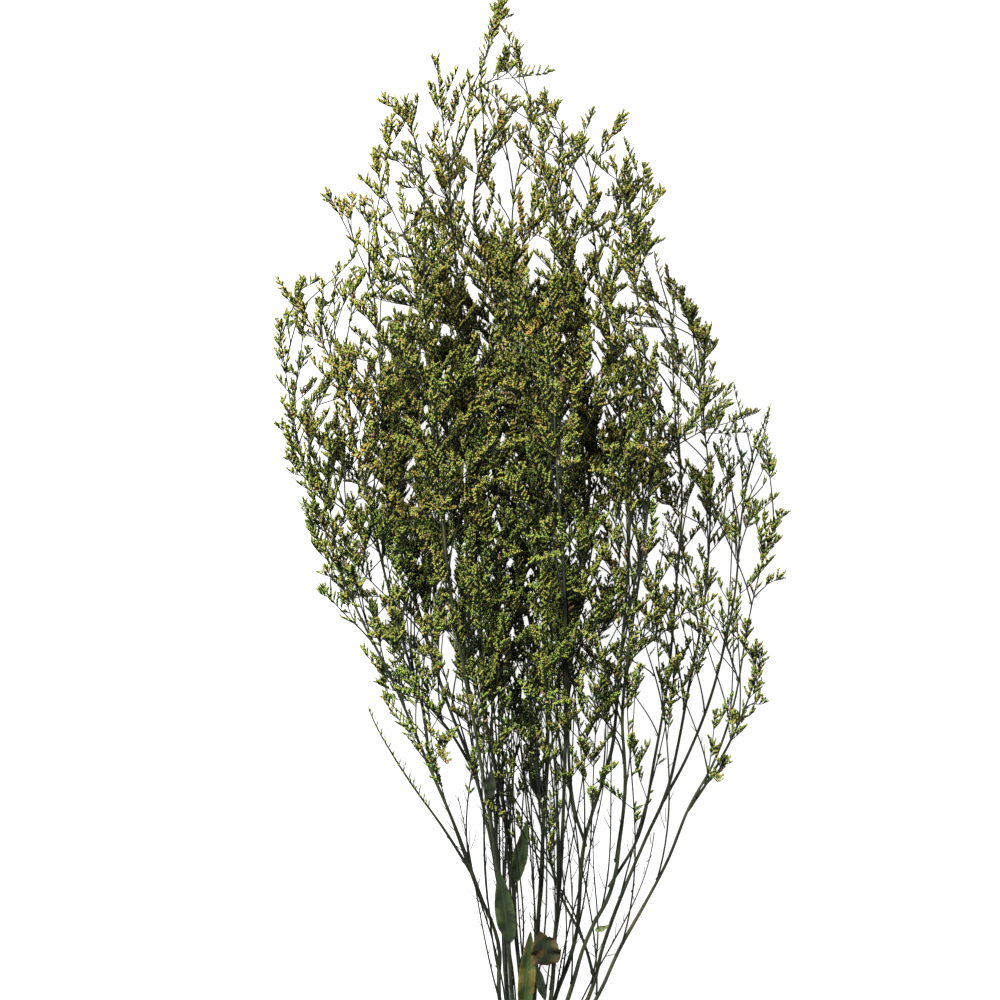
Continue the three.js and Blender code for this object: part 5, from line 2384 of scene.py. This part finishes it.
@dataclass(frozen=True)
class Leaf:
    """A withered leaf: a thin folded blade with a rib and waved edges."""

    plan: LeafPlan
    number: int
    main: Axis
    middle: Array
    thickness: float = 0.8
    gap: float = 0.3
    stalk: float = 1.6
    solid_rows: int = 6
    fold: float = 0.35
    fold_power: float = 1.4
    wave: float = 0.3
    wave_turn: float = 2.6
    crimp: float = 0.1
    crimp_turn: float = 3.7
    arch: float = 0.12
    widest_power: float = 0.8
    round_power: float = 0.75
    tip_half: float = 0.25
    rows: int = 42
    columns: int = 6
    drawn_thickness: float = 0.35
    thinnest_edge: float = 0.35
    edge_from: float = 1.2

    def build(self, material: bpy.types.Material) -> bpy.types.Object:
        """Build the leaf's blade on its stem.

        Args:
            material: Its material.

        Returns:
            The piece.
        """
        plan = self.plan
        share = self.main.curve.share_at_y(plan.start)
        way = self.main.way_at(share)
        up = across(way, UP)
        beside = np.cross(way, up)
        seat = turned(up, beside, plan.side)
        heading = unit(way + beside * plan.lean + up * plan.rise)
        flat = unit(np.cross(heading, up))
        normal = np.cross(flat, heading)
        wing = turned(flat, normal, plan.roll)
        clear = TIE.stem_diameter / 2 + self.gap + self.thickness
        base = self.main.centre_at(share) + seat * clear

        along = np.linspace(0, 1, self.rows + 1)
        rounded = np.maximum(np.sin(np.pi * along**self.widest_power), 0)
        halves = np.maximum(plan.width / 2 * rounded**self.round_power, self.stalk / 2)
        halves[-1] = self.tip_half
        middles = (
            base
            + heading * (plan.length * along)[:, None]
            + normal * (self.arch * plan.length * along * (1 - along))[:, None]
        )
        hands = np.linspace(1, -1, 2 * self.columns + 1)
        turns = self.wave_turn * along * self.solid_rows
        waves = self.wave * halves * np.sin(turns)
        crimp = self.crimp * halves * np.sin(self.crimp_turn * turns + self.number)
        lift = (
            np.abs(hands)[None] ** self.fold_power * self.fold * halves[:, None]
            + hands[None] * waves[:, None]
            + hands[None] ** 4 * crimp[:, None]
        )
        width = hands[None] * halves[:, None]
        upper = middles[:, None] + wing * width[..., None] + normal * lift[..., None]
        edge = np.clip(self.edge_from - hands**2, self.thinnest_edge, 1.0)[None, :, None]
        lower = upper - normal * self.drawn_thickness * edge
        stock = MeshStock(("along", "beside"))
        self.add_blade(stock, upper, lower, along, hands)
        piece = stock.piece(f"leaf_{self.number}_blade", self.middle, (material,))
        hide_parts(f"leaf_{self.number}")
        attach(piece, "root")
        return piece

    @staticmethod
    def add_blade(stock: MeshStock, upper: Array, lower: Array, along: Array, hands: Array) -> None:
        """Add the closed blade.

        Args:
            stock: The piece.
            upper: Points of the upper face, by row and column.
            lower: Points of the lower face.
            along: Place of each row.
            hands: Place of each column.
        """
        shape = upper.shape[:2]
        below = shape[0] * shape[1]
        places = np.arange(below).reshape(shape)
        near, far = places[:-1, :-1].ravel(), places[1:, :-1].ravel()
        top = np.vstack([
            np.column_stack([near, far, far + 1]), np.column_stack([near, far + 1, near + 1])
        ])
        rim = np.concatenate([places[0, :], places[1:, -1], places[-1, -2::-1], places[-2:0:-1, 0]])
        after = np.roll(rim, -1)
        walls = np.vstack([
            np.column_stack([rim, after, after + below]),
            np.column_stack([rim, after + below, rim + below]),
        ])
        beside = np.abs(np.broadcast_to(hands, shape)).ravel()
        rows_along = np.broadcast_to(along[:, None], shape).ravel()
        stock.add(
            np.vstack([upper.reshape(-1, 3), lower.reshape(-1, 3)]),
            np.vstack([top, top[:, ::-1] + below, walls]),
            along=np.tile(rows_along, 2),
            beside=np.tile(beside, 2),
        )


@dataclass(frozen=True)
class WoundBand:
    """The rubber band: one closed loop wound round the stems, its last turn crossing."""

    middle: Array
    turns: int = 5
    strand: float = 1.25
    clearance: float = 0.05
    crossing: float = 1.25
    crossing_power: float = 0.5
    crossing_turn: float = 0.6
    squareness: float = 0.6
    sides: int = 8
    steps: int = 60

    CORNERS = ((-2, 0), (2, 0), (3, 1), (2, 2), (-2, 2), (-3, 1))

    def path(self) -> tuple[Array, Array]:
        """Lay the strand's middle line.

        Returns:
            Its points, and its outward directions.
        """
        corners = np.array([TIE.slot(column, row)[[0, 2]] for column, row in self.CORNERS])
        radius = TIE.stem_diameter / 2 + TIE.band_gap + self.strand / 2 + self.clearance
        reach = (TIE.band_width - self.strand) / 2
        whole = self.turns * 2 * math.pi
        winding = np.linspace(0, whole, self.turns * self.steps, False)
        back = np.linspace(0, 2 * math.pi, self.steps, False)
        angles = np.concatenate([winding, back]) + self.crossing_turn
        rise = np.sin(back / 2) ** self.crossing_power
        rises = np.concatenate([np.zeros(len(winding)), rise])
        reaches = np.concatenate([
            mix(-reach, reach, winding / whole),
            mix(reach, -reach, back / (2 * math.pi)),
        ])
        outward = np.column_stack([np.cos(angles), np.sin(angles)])
        nearest = corners[np.argmax(corners @ outward.T, axis=0)]
        spots = nearest + outward * (radius + rises * self.crossing)[:, None]
        # Under the bundle the crossing strand lies flat on the surface with the others.
        spots[:, 1] = np.maximum(spots[:, 1], self.strand / 2)
        points = np.column_stack([spots[:, 0], reaches, spots[:, 1]])
        sides = np.column_stack([outward[:, 0], np.zeros(len(angles)), outward[:, 1]])
        return points, sides

    def build(self, material: bpy.types.Material) -> bpy.types.Object:
        """Build the band.

        Args:
            material: Its rubber.

        Returns:
            The piece.
        """
        points, sides = self.path()
        ways = unit(np.roll(points, -1, axis=0) - np.roll(points, 1, axis=0))
        outward = across(ways, sides)
        turns = 2 * math.pi * (np.arange(self.sides) + 0.5) / self.sides
        # The strand is cut square, with rounded corners.
        out, over = (
            np.sign(wave) * np.abs(wave) ** self.squareness * self.strand / 2
            for wave in (np.cos(turns), np.sin(turns))
        )
        beside = np.cross(ways, outward)
        vertices = (
            points[:, None]
            + outward[:, None] * out[None, :, None]
            + beside[:, None] * over[None, :, None]
        ).reshape(-1, 3)
        stock = MeshStock()
        stock.add(vertices, ring_triangles(len(points), self.sides, closed=True))
        piece = stock.piece("band_wound", self.middle, (material,))
        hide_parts("band")
        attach(piece, "root")
        return piece


@dataclass(frozen=True)
class Studio:
    """The pale floor, the soft lights and the camera that looks straight down.

    The picture's width and its centre are in millimetres, and the rest is in metres and watts.
    """

    middle: Array
    frame_mm: float = 600.0
    centre_x: float = -16.2
    centre_y: float = 387.0
    camera_height: float = 5.0
    focus_height: float = 0.08
    sensor_mm: float = 36.0
    clip_end: float = 50.0
    floor_size: float = 9.0
    floor_drop: float = 0.0003
    sky: float = 0.15
    key_spot: tuple[float, float, float] = (-0.7, 0.75, 1.7)
    key_size: float = 0.7
    key_watts: float = 95.0
    fill_spot: tuple[float, float, float] = (1.1, -0.7, 1.4)
    fill_size: float = 1.2
    fill_watts: float = 2.0

    def build(self) -> None:
        """Build floor, lights and camera."""
        self.build_floor()
        self.build_sky()
        self.add_light("key_light", self.key_spot, self.key_size, self.key_watts)
        self.add_light("fill_light", self.fill_spot, self.fill_size, self.fill_watts)
        self.add_camera()

    def build_floor(self) -> None:
        """Build the pale floor a hair below the bunch."""
        half = self.floor_size / 2
        mesh = bpy.data.meshes.new("floor")
        square = ((-half, -half), (half, -half), (half, half), (-half, half))
        mesh.from_pydata([(x, y, -self.floor_drop) for x, y in square], [], [(0, 1, 2, 3)])
        mesh.materials.append(LitAcrylic().material())
        floor = bpy.data.objects.new("floor", mesh)
        bpy.context.scene.collection.objects.link(floor)

    def build_sky(self) -> None:
        """Surround the scene with even white light."""
        world = bpy.data.worlds.new("studio")
        world.use_nodes = True
        world.node_tree.nodes.clear()
        white = {"Color": linear("#ffffff"), "Strength": self.sky}
        sky = add_node(world.node_tree, "Background", white)
        add_node(world.node_tree, "OutputWorld", links={"Surface": sky})
        bpy.context.scene.world = world

    def add_light(
        self, name: str, spot: tuple[float, float, float], size: float, watts: float
    ) -> None:
        """Add a square soft light that faces the head.

        Args:
            name: Its name.
            spot: Its place in metres.
            size: Length of its side in metres.
            watts: Its power.
        """
        light = bpy.data.lights.new(name, "AREA")
        light.energy = watts
        light.size = size
        lamp = bpy.data.objects.new(name, light)
        lamp.location = spot
        aim = Vector(self.head_middle() - np.array(spot))
        lamp.rotation_euler = aim.to_track_quat("-Z", "Y").to_euler()
        bpy.context.scene.collection.objects.link(lamp)

    def head_middle(self) -> Array:
        """Find the point that the camera is centred on, in metres."""
        centre = np.array([self.centre_x, self.centre_y, 0.0]) * METRES + self.middle
        return centre + np.array([0.0, 0.0, self.focus_height])

    def add_camera(self) -> None:
        """Add the camera, far away with a long lens, looking down on the bunch."""
        data = bpy.data.cameras.new("camera")
        data.sensor_width = self.sensor_mm
        distance = self.camera_height - self.focus_height
        data.lens = self.sensor_mm * distance / (self.frame_mm * METRES)
        data.clip_end = self.clip_end
        camera = bpy.data.objects.new("camera", data)
        x, y, _ = self.head_middle()
        camera.location = (x, y, self.camera_height)
        bpy.context.scene.collection.objects.link(camera)
        bpy.context.scene.camera = camera


def main() -> None:
    """Grow the bunch, dress it piece by piece, and set up the studio."""
    logging.basicConfig(level=logging.INFO, format="%(name)s: %(message)s")
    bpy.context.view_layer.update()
    low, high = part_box("band")
    middle = np.array([(low.x + high.x) / 2, (low.y + high.y) / 2, low.z])
    bpy.context.scene.view_settings.view_transform = "Standard"
    Studio(middle).build()

    axes = Bunch().grow()
    LOG.info("grown: %d axes", len(axes))
    rind = DriedStem().material()
    pith = StemPith().material()
    papery = PaperyFloret().material()
    fullness = Fullness()
    stems = []
    for stem in range(len(STEMS)):
        own = [axis for axis in axes if axis.stem == stem]
        stems.append(FloweringStem(stem + 1, own, middle))
        stems[-1].grow(fullness)
    crowd = Crowd(fullness, [stem.sprays.spikes for stem in stems])
    for stem in stems:
        stem.fill(crowd)
    crowd = Crowd(fullness, [stem.sprays.spikes for stem in stems])
    for stem in stems:
        stem.sprays.thin(crowd, Draws(Purpose.THINNING, stem.number))
    shade = Shade(np.vstack([stem.sprays.spikes.middles() for stem in stems]))
    for stem in stems:
        wood, bloom, count = stem.build(shade, rind, pith, papery)
        LOG.info(
            "%s: %d triangles, %s: %d florets, %d triangles", wood.name,
            len(wood.data.polygons), bloom.name, count, len(bloom.data.polygons),
        )
    leaf_materials = {tone: WitheredLeaf(tone).material() for tone in LeafTone}
    for place, plan in enumerate(LEAVES):
        stem_axis = next(axis for axis in axes if axis.stem == plan.stem - 1)
        piece = Leaf(plan, place + 1, stem_axis, middle).build(leaf_materials[plan.tone])
        LOG.info("%s: %d triangles", piece.name, len(piece.data.polygons))
    band = WoundBand(middle).build(NaturalRubber().material())
    LOG.info("%s: %d triangles", band.name, len(band.data.polygons))

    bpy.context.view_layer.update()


if __name__ == "__main__":
    main()
